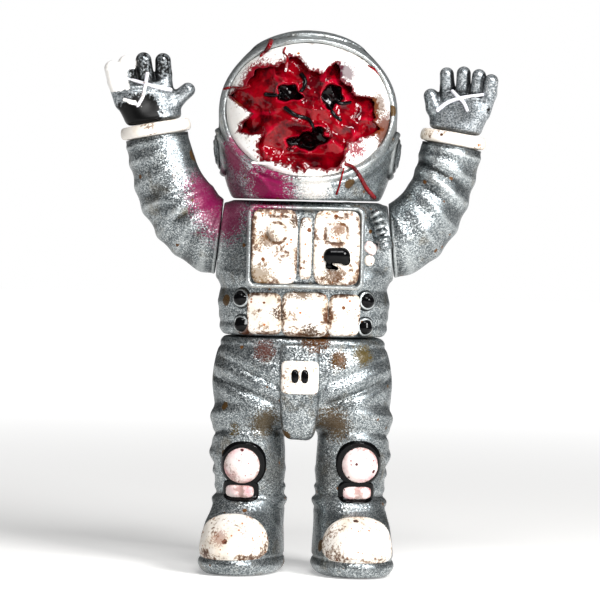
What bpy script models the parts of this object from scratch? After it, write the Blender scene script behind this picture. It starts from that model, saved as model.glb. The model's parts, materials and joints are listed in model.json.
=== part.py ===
"""Soft-vinyl astronaut figure, 140 mm tall, standing with both arms raised.

The figure is made of hollow castings with a 2 mm wall that snap together with mushroom plugs: the
lower body plugs into the torso at the waist, the torso's neck plugs into the helmet, and each arm
plugs into a round hole in the shoulder. Every relief with a finish of its own, such as a knee pad
or a panel of the chest pack, is a separate piece that fits over its casting.

Frame: +Z up, the figure faces -Y, its own right side is at -X. The origin is on the surface it
stands on, under the middle of its bounding box. Lengths are in metres.
"""

import math
from dataclasses import dataclass, replace

import bmesh
import bpy
from mathutils import Matrix, Vector

MM = 0.001

# Driving dimensions. They are given on the body's own centre line, before the whole figure is
# shifted so that the origin is under the middle of its bounding box.
FIGURE_SHIFT = Vector((2.0, 0.0, 0.0)) * MM
WALL = 2.0 * MM
GAP = 0.3 * MM
WAIST_Z = 61.0 * MM
NECK_Z = 96.0 * MM
HELMET_TOP_Z = 140.0 * MM
SHOULDER = Vector((22.2, 0.0, 85.5)) * MM
SHOULDER_TILT = math.radians(5.5)

PLUG_RADIUS = 9.0 * MM
PLUG_BORE = 6.6 * MM
ARM_PLUG_RADIUS = 5.5 * MM
ARM_PLUG_BORE = 3.6 * MM
BOSS_RADIUS = 9.6 * MM
FLANGE_LIP = 1.7 * MM
FLANGE_DEPTH = 1.6 * MM

HELMET_RADIUS = 23.1 * MM
HELMET_WAIST_Z = 117.6 * MM
HELMET_DROP = 31.4 * MM
OPENING_HALF_X = 21.3 * MM
OPENING_HALF_Z = 17.3 * MM
OPENING_Z = 119.2 * MM
RIM_WIDTH = 1.7 * MM
RIM_PROUD = 0.8 * MM
EAR_CUP = Vector((18.0, 0.5, 108.0)) * MM
EAR_CUP_RADIUS = 5.4 * MM
EAR_CUP_FACE_RADIUS = 4.6 * MM
EAR_CUP_REACH = (5.7 * MM, 6.5 * MM)

BODY_COUNT = 24
LIMB_COUNT = 18
FINGER_COUNT = 8

SILVER = ("silver_vinyl", (0.56, 0.58, 0.59), 0.38, 0.75)
WHITE = ("white_vinyl", (0.86, 0.83, 0.78), 0.45, 0.0)
BLACK = ("black_gloss", (0.012, 0.012, 0.014), 0.12, 0.0)
RED = ("red_resin", (0.36, 0.004, 0.012), 0.08, 0.0)

RIGHT, LEFT = -1, 1
SIDE_NAMES = {RIGHT: "right", LEFT: "left"}


@dataclass(frozen=True)
class Section:
    """One closed ring of a loft: a superellipse about centre, in the plane of the axes u and v."""

    centre: Vector
    half_u: float
    half_v: float
    power: float = 2.0
    u: Vector = Vector((1, 0, 0))
    v: Vector = Vector((0, 1, 0))

    def points(self, count):
        """The ring's corners, evenly spaced in angle."""
        found = []
        for step in range(count):
            angle = 2 * math.pi * (step + 0.5) / count
            cosine, sine = math.cos(angle), math.sin(angle)
            along_u = self.half_u * math.copysign(abs(cosine) ** (2 / self.power), cosine)
            along_v = self.half_v * math.copysign(abs(sine) ** (2 / self.power), sine)
            found.append(self.centre + along_u * self.u + along_v * self.v)
        return found


def level(x, y, z, half_x, half_y, power=2.0):
    """A level section, with all sizes in millimetres."""
    return Section(Vector((x, y, z)) * MM, half_x * MM, half_y * MM, power)


def grown(sections, by):
    """The same loft with its skin moved outwards by a distance, or inwards where it is negative."""
    first, last = sections[0], sections[-1]
    back = (first.centre - sections[1].centre).normalized() * by
    on = (last.centre - sections[-2].centre).normalized() * by
    moved = [replace(s, half_u=s.half_u + by, half_v=s.half_v + by) for s in sections]
    moved[0] = replace(moved[0], centre=first.centre + back)
    moved[-1] = replace(moved[-1], centre=last.centre + on)
    return moved


# ---------------------------------------------------------------- scene, materials and helpers


def clear_scene():
    """Removes every object of the startup scene."""
    for obj in list(bpy.data.objects):
        bpy.data.objects.remove(obj, do_unlink=True)


def material(finish):
    """The Principled material of a finish, made once."""
    name, colour, roughness, metallic = finish
    made = bpy.data.materials.get(name)
    if made is None:
        made = bpy.data.materials.new(name)
        made.use_nodes = True
        shader = made.node_tree.nodes["Principled BSDF"]
        shader.inputs["Base Color"].default_value = (*colour, 1.0)
        shader.inputs["Roughness"].default_value = roughness
        shader.inputs["Metallic"].default_value = metallic
    return made


def pivot(name, parent, location):
    """An empty that carries one body of the figure, standing on that body's joint axis."""
    empty = bpy.data.objects.new(name, None)
    bpy.context.scene.collection.objects.link(empty)
    empty.parent = parent
    empty.location = location
    return empty


def attach(obj, body):
    """Parents an object to a body's pivot, and leaves its own values in the figure's frame."""
    offset = Vector(body["in_figure"])
    obj.parent = body
    obj.matrix_parent_inverse = Matrix.Translation(-offset)
    return obj


def new_object(name, mesh, body, finish=None):
    """Links a mesh as an object of a body. Without a finish it is a cutter, which is never a part."""
    obj = bpy.data.objects.new(name, mesh)
    bpy.context.scene.collection.objects.link(obj)
    attach(obj, body)
    if finish is None:
        obj.hide_render = True
        obj.display_type = "WIRE"
    else:
        mesh.materials.append(material(finish))
        mesh.shade_smooth()
        mesh.set_sharp_from_angle(angle=math.radians(35))
    return obj


def ring_edges(bm, points):
    """A closed ring of edges through the points."""
    corners = [bm.verts.new(p) for p in points]
    return [bm.edges.new((a, b)) for a, b in zip(corners, corners[1:] + corners[:1])]


def loft(name, sections, body, finish=None, count=BODY_COUNT):
    """A closed solid bridged from section to section, with a flat cap at each end."""
    bm = bmesh.new()
    rings = [ring_edges(bm, s.points(count)) for s in sections]
    for lower, upper in zip(rings, rings[1:]):
        bmesh.ops.bridge_loops(bm, edges=lower + upper)
    for end in (rings[0], rings[-1]):
        bmesh.ops.edgeloop_fill(bm, edges=end)
    bmesh.ops.recalc_face_normals(bm, faces=bm.faces)
    mesh = bpy.data.meshes.new(name)
    bm.to_mesh(mesh)
    bm.free()
    return new_object(name, mesh, body, finish)


def rod_sections(start, end, radius, end_radius=None):
    """The two round sections of a straight rod, or of a cone where the end radius differs."""
    axis = (end - start).normalized()
    u = axis.cross(Vector((0, 1, 0)) if abs(axis.y) < 0.9 else Vector((1, 0, 0))).normalized()
    v = axis.cross(u)
    last = radius if end_radius is None else end_radius
    return [Section(start, radius, radius, 2, u, v), Section(end, last, last, 2, u, v)]


def rod(name, start, end, radius, body, finish=None, count=LIMB_COUNT):
    """A round bar between two points."""
    return loft(name, rod_sections(start, end, radius), body, finish, count)


def slab(name, centre, half, corner, body, finish=None, segments=3):
    """A box whose edges along Y, seen from the front, are rounded to a corner radius."""
    bm = bmesh.new()
    bmesh.ops.create_cube(bm, size=2.0)
    bmesh.ops.scale(bm, vec=half, verts=bm.verts)
    deep = [e for e in bm.edges if abs((e.verts[0].co - e.verts[1].co).normalized().y) > 0.9]
    bmesh.ops.bevel(bm, geom=deep, offset=corner, segments=segments, profile=0.5, affect="EDGES")
    bmesh.ops.translate(bm, vec=centre, verts=bm.verts)
    mesh = bpy.data.meshes.new(name)
    bm.to_mesh(mesh)
    bm.free()
    return new_object(name, mesh, body, finish)


def boolean(obj, operation, *tools):
    """Adds one Boolean modifier for each tool, in order."""
    for tool in tools:
        step = obj.modifiers.new(f"{operation.lower()}_{tool.name}", "BOOLEAN")
        step.operation = operation
        step.object = tool
        step.solver = "EXACT"
    return obj


# ---------------------------------------------------------------- forms shared by several pieces


def helmet_profile(z):
    """The helmet's radius at a height: a ball above its widest level, a squarer curve below it."""
    rise = z - HELMET_WAIST_Z
    if rise >= 0:
        share, power = rise / (HELMET_TOP_Z - HELMET_WAIST_Z), 2.0
    else:
        share, power = -rise / HELMET_DROP, 2.5
    return HELMET_RADIUS * max(1 - share**power, 0.0) ** (1 / power)


def helmet_sections():
    """The helmet's outer skin, from its flat underside to its crown."""
    base = NECK_Z + GAP / 2
    lower = [base + (HELMET_WAIST_Z - base) * i / 4 for i in range(4)]
    arc = HELMET_TOP_Z - HELMET_WAIST_Z
    upper = [HELMET_WAIST_Z + arc * math.sin(math.radians(a)) for a in range(0, 83, 13)]
    heights = lower + upper
    rings = [Section(Vector((0, 0, z)), helmet_profile(z), helmet_profile(z)) for z in heights]
    crown = Section(Vector((0, 0, HELMET_TOP_Z)), 1.2 * MM, 1.2 * MM)
    return rings + [crown]


def opening_sections(by, front, back):
    """The oval bar along Y that the helmet's face opening is cut with, from front to back."""
    half_x, half_z = OPENING_HALF_X + by, OPENING_HALF_Z + by
    z = Vector((0, 0, 1))
    return [
        Section(Vector((0, y, OPENING_Z)), half_x, half_z, 2.1, Vector((1, 0, 0)), z)
        for y in (front, back)
    ]


def torso_sections():
    """The torso's outer skin, from the waist to the neck."""
    return [
        level(0, 0, 61.15, 20.8, 13.9, 2.5),
        level(0, 0, 63.5, 21.6, 14.6, 2.5),
        level(0, 0, 70.0, 21.8, 15.0, 2.5),
        level(0, 0, 78.0, 22.2, 15.2, 2.5),
        level(0, 0, 86.0, 22.6, 15.2, 2.5),
        level(0, 0, 91.5, 22.0, 14.8, 2.4),
        level(0, 0, 94.4, 20.4, 14.0, 2.3),
        level(0, 0, 95.85, 18.6, 13.2, 2.2),
    ]


def pelvis_sections():
    """The hips, from the crotch up to the waist."""
    return [
        level(0, 0.8, 37.2, 15.0, 8.6, 2.2),
        level(0, 0.6, 40.0, 20.4, 12.0, 2.3),
        level(0, 0.3, 45.0, 23.0, 14.4, 2.4),
        level(0, 0, 51.5, 23.3, 15.0, 2.4),
        level(0, 0, 56.5, 22.4, 14.6, 2.4),
        level(0, 0, 60.85, 20.4, 13.7, 2.4),
    ]


def leg_sections(side):
    """One leg, from inside the boot up into the hips."""
    return [
        level(side * 12.9, 0.6, 14.0, 8.7, 9.6, 2.2),
        level(side * 12.8, 0.4, 21.0, 8.9, 9.9, 2.2),
        level(side * 13.4, -0.1, 28.0, 9.5, 10.9, 2.2),
        level(side * 13.5, 0.0, 34.0, 9.6, 11.4, 2.2),
        level(side * 13.2, 0.2, 40.0, 9.9, 12.2, 2.2),
        level(side * 12.0, 0.3, 46.0, 10.2, 12.8, 2.2),
    ]


BOOT_TURN = {RIGHT: math.radians(15), LEFT: math.radians(9)}
ANKLE = Vector((12.8, 1.0, 0)) * MM
TOE_CAP_PROUD = 1.2 * MM


def boot_sections(side):
    """One boot, turned outwards about the ankle, from its sole up to its rim."""
    ankle = Vector((side * ANKLE.x, ANKLE.y, ANKLE.z))
    turn = Matrix.Rotation(side * BOOT_TURN[side], 3, "Z")
    shape = [
        (0.0, -6.6, 9.2, 14.6, 2.3),
        (1.2, -6.8, 9.9, 15.5, 2.3),
        (4.5, -6.9, 10.2, 15.9, 2.3),
        (9.0, -6.2, 10.1, 15.2, 2.3),
        (12.5, -4.9, 9.8, 13.7, 2.2),
        (15.6, -2.3, 9.4, 11.4, 2.2),
        (19.2, -0.5, 9.3, 10.5, 2.2),
    ]
    rings = []
    for z, y, half_x, half_y, power in shape:
        centre = ankle + turn @ (Vector((0, y, 0)) * MM) + Vector((0, 0, z * MM))
        u, v = turn @ Vector((1, 0, 0)), turn @ Vector((0, 1, 0))
        rings.append(Section(centre, half_x * MM, half_y * MM, power, u, v))
    return rings


def shoulder_frame(side):
    """The shoulder's point on the seam, and the joint axis pointing out of the body."""
    centre = Vector((side * SHOULDER.x, SHOULDER.y, SHOULDER.z))
    outwards = Vector((side * math.cos(SHOULDER_TILT), 0, math.sin(SHOULDER_TILT)))
    return centre, outwards


@dataclass(frozen=True)
class ArmShape:
    """What differs between the two arms: where the wrist is, how it leans and how thick they are."""

    wrist: Vector
    lean: float
    radii: tuple
    cuff_radius: float
    hand_turn: float
    hand_size: float

    def wrist_axis(self, side):
        """The direction from the wrist to the fingers."""
        return Vector((side * math.sin(self.lean), 0, math.cos(self.lean)))


ARMS = {
    RIGHT: ArmShape(
        wrist=Vector((-39.0, 0, 111.7)) * MM,
        lean=math.radians(10.5),
        radii=(9.2, 9.5, 9.5, 9.0, 8.5, 8.2, 8.0),
        cuff_radius=9.1 * MM,
        hand_turn=math.radians(8),
        hand_size=1.0,
    ),
    LEFT: ArmShape(
        wrist=Vector((37.4, 0, 110.9)) * MM,
        lean=math.radians(9.0),
        radii=(9.2, 9.2, 8.9, 8.4, 8.0, 7.7, 7.6),
        cuff_radius=8.5 * MM,
        hand_turn=math.radians(24),
        hand_size=0.94,
    ),
}
CUFF_LENGTH = 3.2 * MM
SPIGOT_RADIUS = 3.6 * MM
SLEEVE_RISE = math.radians(24)
SLEEVE_PULLS = (10.0 * MM, 12.0 * MM)


def sleeve_sections(side):
    """The sleeve, round a cubic curve from the shoulder's seam up to the wrist.

    The first section lies in the seam. The others are square to the curve.
    """
    arm = ARMS[side]
    seam, outwards = shoulder_frame(side)
    start = seam + outwards * GAP / 2
    up = arm.wrist_axis(side)
    leaving = Vector((side * math.cos(SLEEVE_RISE), 0, math.sin(SLEEVE_RISE)))
    first_pull, last_pull = start + leaving * SLEEVE_PULLS[0], arm.wrist - up * SLEEVE_PULLS[1]
    y = Vector((0, 1, 0))
    rings = []
    for step, radius in enumerate(arm.radii):
        t = step / (len(arm.radii) - 1)
        s = 1 - t
        bend = 3 * s * s * t * first_pull + 3 * s * t * t * last_pull
        centre = s**3 * start + bend + t**3 * arm.wrist
        pull = s * s * (first_pull - start) + 2 * s * t * (last_pull - first_pull)
        along = (pull + t * t * (arm.wrist - last_pull)).normalized() if step else outwards
        rings.append(Section(centre, radius * MM, radius * MM, 2.1, y, along.cross(y)))
    return rings


# ---------------------------------------------------------------- mushroom plugs


def plug(name, root, axis, radius, bore, body, reach):
    """A hollow mushroom plug. It rises along axis from root, and its lip starts at reach.

    Returns the solid to join to a casting, and the bore to cut from it.
    """
    tip = root + axis * (reach + FLANGE_DEPTH)
    stem = rod(f"{name}_stem", root - axis * WALL, tip - axis * 0.1 * MM, radius, body)
    lip = rod(f"{name}_lip", root + axis * reach, tip, radius + FLANGE_LIP, body)
    hollow = rod(f"{name}_bore", root - axis * 3 * WALL, tip + axis * WALL, bore, body)
    boolean(stem, "UNION", lip)
    return stem, hollow


# ---------------------------------------------------------------- lower body


def build_lower_body(body):
    """The hollow casting of hips, legs and boots, and the pieces that fit over it."""
    outside = {"pelvis": (pelvis_sections(), BODY_COUNT)}
    for side in (RIGHT, LEFT):
        outside[f"{SIDE_NAMES[side]}_leg"] = (leg_sections(side), LIMB_COUNT)
        outside[f"{SIDE_NAMES[side]}_boot"] = (boot_sections(side), LIMB_COUNT)

    shell = loft("lower_body_shell", *outside["pelvis"][:1], body, SILVER)
    guard, hollows = {}, []
    for name, (sections, count) in outside.items():
        if name != "pelvis":
            boolean(shell, "UNION", loft(f"{name}_form", sections, body, count=count))
        guard[name] = loft(f"{name}_guard", grown(sections, GAP), body, count=count)
        hollows.append(loft(f"{name}_hollow", grown(sections, -WALL), body, count=count))

    top = Vector((0, 0, WAIST_Z - GAP / 2))
    stem, bore = plug("waist_plug", top, Vector((0, 0, 1)), PLUG_RADIUS, PLUG_BORE, body, WALL + 2 * GAP)
    boolean(shell, "UNION", stem)
    boolean(shell, "DIFFERENCE", *hollows, bore)

    build_flap(body, guard)
    for side in (RIGHT, LEFT):
        build_knee(side, body, guard[f"{SIDE_NAMES[side]}_leg"], guard[f"{SIDE_NAMES[side]}_boot"])
        build_toe_cap(side, body, guard[f"{SIDE_NAMES[side]}_boot"])


def build_flap(body, guard):
    """The square-cornered flap that hangs from the waist over the crotch."""
    shape = [
        level(-0.5, -10.5, 34.6, 3.0, 2.6, 3.0),
        level(-0.5, -10.6, 36.0, 3.9, 3.6, 3.2),
        level(-0.5, -12.0, 41.0, 4.7, 4.0, 3.6),
        level(-0.5, -13.2, 46.0, 5.1, 3.6, 4.0),
        level(-0.5, -13.4, 54.0, 5.1, 3.3, 4.0),
        level(-0.5, -12.9, 59.3, 5.1, 3.0, 4.0),
    ]
    flap = loft("front_flap", shape, body, WHITE, LIMB_COUNT)
    boolean(flap, "DIFFERENCE", guard["pelvis"], guard["right_leg"], guard["left_leg"])


def lens(name, centre, half_x, half_y, half_z, body, finish=None, power=2.0):
    """A rounded button facing -Y: an oval bar whose front end is stepped in like a dome."""
    z = Vector((0, 0, 1))
    rings = []
    for angle in (0, 35, 60, 80):
        share = math.cos(math.radians(angle))
        place = centre - Vector((0, half_y * math.sin(math.radians(angle)), 0))
        rings.append(Section(place, half_x * share, half_z * share, power, Vector((1, 0, 0)), z))
    back = replace(rings[0], centre=centre + Vector((0, half_y, 0)))
    return loft(name, [back] + rings, body, finish, LIMB_COUNT)


KNEE = {RIGHT: Vector((-14.7, -9.0, 27.8)) * MM, LEFT: Vector((15.1, -9.0, 28.6)) * MM}
SHIN = {RIGHT: Vector((-15.2, -8.6, 20.9)) * MM, LEFT: Vector((14.6, -8.6, 21.2)) * MM}


def build_knee(side, body, leg, boot):
    """The round knee pad, the bar-shaped shin pad under it and the plate that frames both."""
    name = SIDE_NAMES[side]
    knee, shin = KNEE[side], SHIN[side]
    pad = lens(f"{name}_knee_pad", knee, 4.9 * MM, 4.4 * MM, 4.7 * MM, body, WHITE)
    bar = lens(f"{name}_shin_pad", shin, 3.9 * MM, 3.2 * MM, 1.7 * MM, body, WHITE, 4.0)
    plate = lens(f"{name}_knee_plate", knee, 6.0 * MM, 3.0 * MM, 5.9 * MM, body, BLACK)
    low = lens(f"{name}_shin_plate_form", shin, 4.8 * MM, 2.6 * MM, 2.8 * MM, body, power=5.0)
    hole = lens(f"{name}_knee_hole", knee, 5.2 * MM, 9.0 * MM, 5.0 * MM, body)
    slot = lens(f"{name}_shin_hole", shin, 4.2 * MM, 9.0 * MM, 2.0 * MM, body, power=4.0)
    boolean(plate, "UNION", low)
    boolean(plate, "DIFFERENCE", hole, slot)
    for piece in (pad, bar, plate):
        boolean(piece, "DIFFERENCE", leg, boot)


def build_toe_cap(side, body, boot):
    """The oval cap over a boot's toe, 0.9 mm thick."""
    name = SIDE_NAMES[side]
    turn = Matrix.Rotation(side * BOOT_TURN[side], 3, "Z")
    ankle = Vector((side * ANKLE.x, ANKLE.y, ANKLE.z))
    toe = ankle + turn @ (Vector((0, -15.5, 0)) * MM) + Vector((0, 0, 10.2 * MM))
    tip = ankle + turn @ (Vector((0, -26.0, 0)) * MM) + Vector((0, 0, 9.4 * MM))
    along = (tip - toe).normalized()
    u = turn @ Vector((1, 0, 0))
    v = along.cross(u).normalized()
    oval = [Section(p, 8.9 * MM, 6.6 * MM, 2.2, u, v) for p in (toe, tip)]
    cap = loft(f"{name}_toe_cap", oval, body, WHITE, LIMB_COUNT)
    skin = grown(boot_sections(side), TOE_CAP_PROUD)
    boolean(cap, "INTERSECT", loft(f"{name}_toe_skin", skin, body, count=LIMB_COUNT))
    boolean(cap, "DIFFERENCE", boot)


# ---------------------------------------------------------------- torso


def build_torso(body):
    """The hollow torso with its neck plug and sockets, and the pieces that fit over it."""
    sections = torso_sections()
    shell = loft("torso_shell", sections, body, SILVER)
    guard = loft("torso_guard", grown(sections, GAP), body)
    hollow = loft("torso_hollow", grown(sections, -WALL), body)
    top = Vector((0, 0, NECK_Z - GAP / 2))
    up = Vector((0, 0, 1))
    stem, bore = plug("neck_plug", top, up, PLUG_RADIUS, PLUG_BORE, body, WALL + 2 * GAP)
    holes = [bore]
    base = Vector((0, 0, WAIST_Z))
    holes.append(rod("waist_hole", base - up * WALL, base + up * 3 * WALL, PLUG_RADIUS + GAP, body))
    for side in (RIGHT, LEFT):
        name = SIDE_NAMES[side]
        seam, out = shoulder_frame(side)
        face = seam - out * GAP / 2
        back = face - out * 6 * MM
        boss = rod(f"{name}_boss", back, face, BOSS_RADIUS, body, count=BODY_COUNT)
        beyond = rod(f"{name}_beyond", face, face + out * 9 * MM, 26 * MM, body)
        boolean(shell, "UNION", boss)
        boolean(shell, "DIFFERENCE", beyond)
        room_round_boss = rod(f"{name}_boss_guard", back, face, BOSS_RADIUS + GAP, body, count=BODY_COUNT)
        boolean(guard, "UNION", room_round_boss)
        inside = face - out * WALL
        room = ARM_PLUG_RADIUS + FLANGE_LIP + 2 * GAP
        holes.append(rod(f"{name}_room", inside - out * 5 * MM, inside, room, body))
        holes.append(
            rod(f"{name}_socket", inside - out * WALL, face + out * WALL, ARM_PLUG_RADIUS + GAP, body)
        )
    boolean(shell, "UNION", stem)
    boolean(shell, "DIFFERENCE", hollow, *holes)

    build_chest_pack(body, guard)
    build_belly(body, guard)
    build_hose(body)
    build_backpack(body, guard)


CHEST_PACK = Vector((0.1, -17.0, 84.1)) * MM
CHEST_PACK_HALF = Vector((15.0, 2.1, 10.6)) * MM
CHEST_PACK_BORDER = 1.0 * MM
CHEST_PANEL_X = 7.8 * MM
CHEST_PANEL_HALF = Vector((5.75, 0.75, 9.2)) * MM
CHEST_BAR_HALF = Vector((1.55, 1.05, 7.6)) * MM
CHEST_KNOB_X, CHEST_KNOB_Z = 7.4 * MM, -2.3 * MM
CHEST_KNOB_HALF = Vector((2.9, 0.85, 2.2)) * MM


def build_chest_pack(body, guard):
    """The control box on the chest: a framed case with two panels, a bar and a black knob."""
    back = CHEST_PACK + Vector((0, 2.0, 0)) * MM
    half = CHEST_PACK_HALF + Vector((0, 2.0, 0)) * MM
    case = slab("chest_pack_case", back, half, 2.2 * MM, body, SILVER, segments=4)
    front = CHEST_PACK.y - CHEST_PACK_HALF.y
    recess_half = CHEST_PACK_HALF - Vector((CHEST_PACK_BORDER, 0.8 * MM, CHEST_PACK_BORDER))
    recess_at = Vector((CHEST_PACK.x, front, CHEST_PACK.z))
    recess = slab("chest_pack_recess", recess_at, recess_half, 1.6 * MM, body)
    boolean(case, "DIFFERENCE", recess, guard)

    for side in (RIGHT, LEFT):
        place = CHEST_PACK + Vector((side * CHEST_PANEL_X, 0, 0))
        place.y = front + 0.25 * MM
        name = f"{SIDE_NAMES[side]}_chest_panel"
        slab(name, place, CHEST_PANEL_HALF, 1.4 * MM, body, WHITE)
    bar_at = Vector((CHEST_PACK.x, front - 0.05 * MM, CHEST_PACK.z - 0.3 * MM))
    slab("chest_bar", bar_at, CHEST_BAR_HALF, 1.4 * MM, body, WHITE)
    knob_at = CHEST_PACK + Vector((CHEST_KNOB_X, 0, CHEST_KNOB_Z))
    knob_at.y = front - 1.4 * MM
    lens("chest_knob", knob_at, *CHEST_KNOB_HALF, body, BLACK)


# Each panel's name, its middle along X, its half width and how proud of the torso it stands, in
# millimetres.
BELLY_PANELS = (
    ("right_belly_panel", -10.2, 3.8, 0.9),
    ("belly_panel", 0.3, 5.8, 1.7),
    ("left_belly_panel", 10.5, 3.5, 0.9),
)
BELLY_Z = 66.9
PORT_LEVELS = {"upper": 70.7, "lower": 63.9}
PORT_RADIUS = 2.15 * MM
PORT_TURN = math.radians(40)


def build_belly(body, guard):
    """Three stiff panels under the chest pack, with two black hose ports at either side of them."""
    for name, x, half_x, proud in BELLY_PANELS:
        centre = Vector((x, -12.5, BELLY_Z)) * MM
        half = Vector((half_x, 5.5, 5.3 if proud < 1 else 5.65)) * MM
        panel = slab(name, centre, half, 1.0 * MM, body, WHITE)
        skin = loft(f"{name}_skin", grown(torso_sections(), proud * MM), body)
        boolean(panel, "INTERSECT", skin)
        boolean(panel, "DIFFERENCE", guard)
    for side in (RIGHT, LEFT):
        for place, z in PORT_LEVELS.items():
            out = Vector((side * math.sin(PORT_TURN), -math.cos(PORT_TURN), 0))
            surface = Vector((side * 16.5, -12.2, z)) * MM
            start = surface - out * 2 * MM
            port_name = f"{SIDE_NAMES[side]}_{place}_port"
            rings = rod_sections(start, surface + out * 0.9 * MM, PORT_RADIUS)
            tip = rod_sections(start, surface + out * 2.1 * MM, PORT_RADIUS, 0.9 * MM)[1]
            port = loft(port_name, rings + [tip], body, BLACK, 14)
            boolean(port, "DIFFERENCE", guard)


HOSE_ROUTE = (
    (17.2, -12.2, 94.2),
    (18.4, -12.7, 92.0),
    (19.3, -12.7, 89.4),
    (20.0, -12.2, 87.0),
)
HOSE_RADIUS = 1.55 * MM
ELBOW_RADIUS = 2.05 * MM
ELBOW_LENGTH = 3.4 * MM
STUB_RADIUS = 1.5 * MM


def build_hose(body):
    """The short corrugated hose on the left of the chest, and the elbow that it ends in."""
    curve = bpy.data.curves.new("shoulder_hose", "CURVE")
    curve.dimensions = "3D"
    curve.bevel_depth = HOSE_RADIUS
    curve.bevel_resolution = 3
    curve.use_fill_caps = True
    line = curve.splines.new("POLY")
    line.points.add(len(HOSE_ROUTE) - 1)
    for point, place in zip(line.points, HOSE_ROUTE):
        point.co = (*(Vector(place) * MM), 1.0)
    curve.materials.append(material(SILVER))
    hose = bpy.data.objects.new("shoulder_hose", curve)
    bpy.context.scene.collection.objects.link(hose)
    attach(hose, body)

    end = Vector(HOSE_ROUTE[-1]) * MM
    before = Vector(HOSE_ROUTE[-2]) * MM
    along = (end - before).normalized()
    start = end + along * GAP
    turned = start + along * ELBOW_LENGTH
    elbow = rod("hose_elbow", start, turned, ELBOW_RADIUS, body, SILVER, 14)
    inwards = Vector((-0.35, 1.0, -0.25)).normalized()
    guard = bpy.data.objects["torso_guard"]
    middle = start + along * 2.0 * MM
    stub = rod("hose_elbow_stub", middle, middle + inwards * 6 * MM, STUB_RADIUS, body, count=14)
    boolean(elbow, "UNION", stub)
    boolean(elbow, "DIFFERENCE", guard)


def build_backpack(body, guard):
    """The life-support pack on the back."""
    shape = [
        level(0, 15.0, 65.0, 13.6, 6.6, 4.0),
        level(0, 15.4, 66.6, 14.8, 7.4, 4.0),
        level(0, 15.4, 90.0, 14.8, 7.4, 4.0),
        level(0, 14.9, 93.4, 13.2, 6.2, 4.0),
    ]
    pack = loft("backpack", shape, body, SILVER)
    boolean(pack, "DIFFERENCE", guard)


# ---------------------------------------------------------------- head


# The broken visor: each point of the hole's outline as a clock angle and its reach from the
# hole's middle, tips and notches in turn, in degrees and millimetres.
BREAK_CENTRE = (0.2, 0.0, 118.6)
BREAK_OUTLINE = (
    (19, 10.2),
    (28, 15.0),
    (43, 11.0),
    (58, 12.6),
    (70, 12.2),
    (77, 17.0),
    (97, 16.6),
    (102, 19.0),
    (115, 15.0),
    (128, 12.3),
    (148, 15.8),
    (163, 15.2),
    (172, 14.0),
    (191, 14.8),
    (205, 14.2),
    (222, 17.0),
    (234, 15.5),
    (243, 13.3),
    (253, 18.2),
    (267, 14.4),
    (281, 20.4),
    (291, 17.6),
    (310, 17.0),
    (324, 13.8),
    (345, 14.8),
    (358, 10.5),
)


def break_cutter(body):
    """The jagged bar along Y that breaks the visor open."""
    bm = bmesh.new()
    middle = Vector(BREAK_CENTRE) * MM
    corners = []
    for clock, reach in BREAK_OUTLINE:
        angle = math.radians(clock)
        ray = Vector((math.sin(angle), 0, math.cos(angle))) * reach * MM
        corners.append(bm.verts.new(middle + ray - Vector((0, 30 * MM, 0))))
    face = bm.faces.new(corners)
    pushed = bmesh.ops.extrude_face_region(bm, geom=[face])
    moved = [v for v in pushed["geom"] if isinstance(v, bmesh.types.BMVert)]
    bmesh.ops.translate(bm, vec=(0, 30 * MM, 0), verts=moved)
    bmesh.ops.recalc_face_normals(bm, faces=bm.faces)
    mesh = bpy.data.meshes.new("visor_break")
    bm.to_mesh(mesh)
    bm.free()
    return new_object("visor_break", mesh, body)


def build_head(body):
    """The hollow helmet, the broken visor, the face behind it and the two ear cups."""
    sections = helmet_sections()
    shell = loft("helmet_shell", sections, body, SILVER)
    rim = loft("rim_form", opening_sections(RIM_WIDTH, -26 * MM, -3 * MM), body)
    rim_skin = loft("rim_skin", grown(sections, RIM_PROUD), body)
    boolean(rim, "INTERSECT", rim_skin)
    boolean(shell, "UNION", rim)
    base = Vector((0, 0, NECK_Z))
    up = Vector((0, 0, 1))
    neck_hole = rod("neck_hole", base - up * WALL, base + up * 3 * WALL, PLUG_RADIUS + GAP, body)
    hollow = loft("helmet_hollow", grown(sections, -WALL), body)
    opening = loft("face_opening", opening_sections(0, -32 * MM, -4 * MM), body)
    boolean(shell, "DIFFERENCE", hollow, neck_hole, opening)

    visor = loft("visor", opening_sections(-GAP, -30 * MM, -6 * MM), body, WHITE)
    boolean(visor, "INTERSECT", loft("visor_skin", grown(sections, -0.2 * MM), body))
    boolean(visor, "DIFFERENCE", loft("visor_hollow", grown(sections, -WALL), body))
    boolean(visor, "DIFFERENCE", break_cutter(body))

    face = loft("face_casting", opening_sections(-3 * GAP, -30 * MM, -5 * MM), body, RED)
    boolean(face, "INTERSECT", loft("face_skin", grown(sections, -WALL - GAP), body))
    boolean(face, "DIFFERENCE", loft("face_hollow", grown(sections, -2 * WALL - GAP), body))

    guard = loft("helmet_guard", grown(sections, GAP), body)
    rim_guard = loft("rim_guard", opening_sections(RIM_WIDTH + GAP, -30 * MM, -3 * MM), body)
    for side in (RIGHT, LEFT):
        inner = Vector((side * EAR_CUP.x, EAR_CUP.y, EAR_CUP.z))
        edge, face = (inner + Vector((side * reach, 0, 0)) for reach in EAR_CUP_REACH)
        rings = rod_sections(inner, edge, EAR_CUP_RADIUS)
        rings.append(rod_sections(inner, face, EAR_CUP_RADIUS, EAR_CUP_FACE_RADIUS)[1])
        cup = loft(f"{SIDE_NAMES[side]}_ear_cup", rings, body, SILVER, 16)
        boolean(cup, "DIFFERENCE", guard, rim_guard)


# ---------------------------------------------------------------- arms


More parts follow.
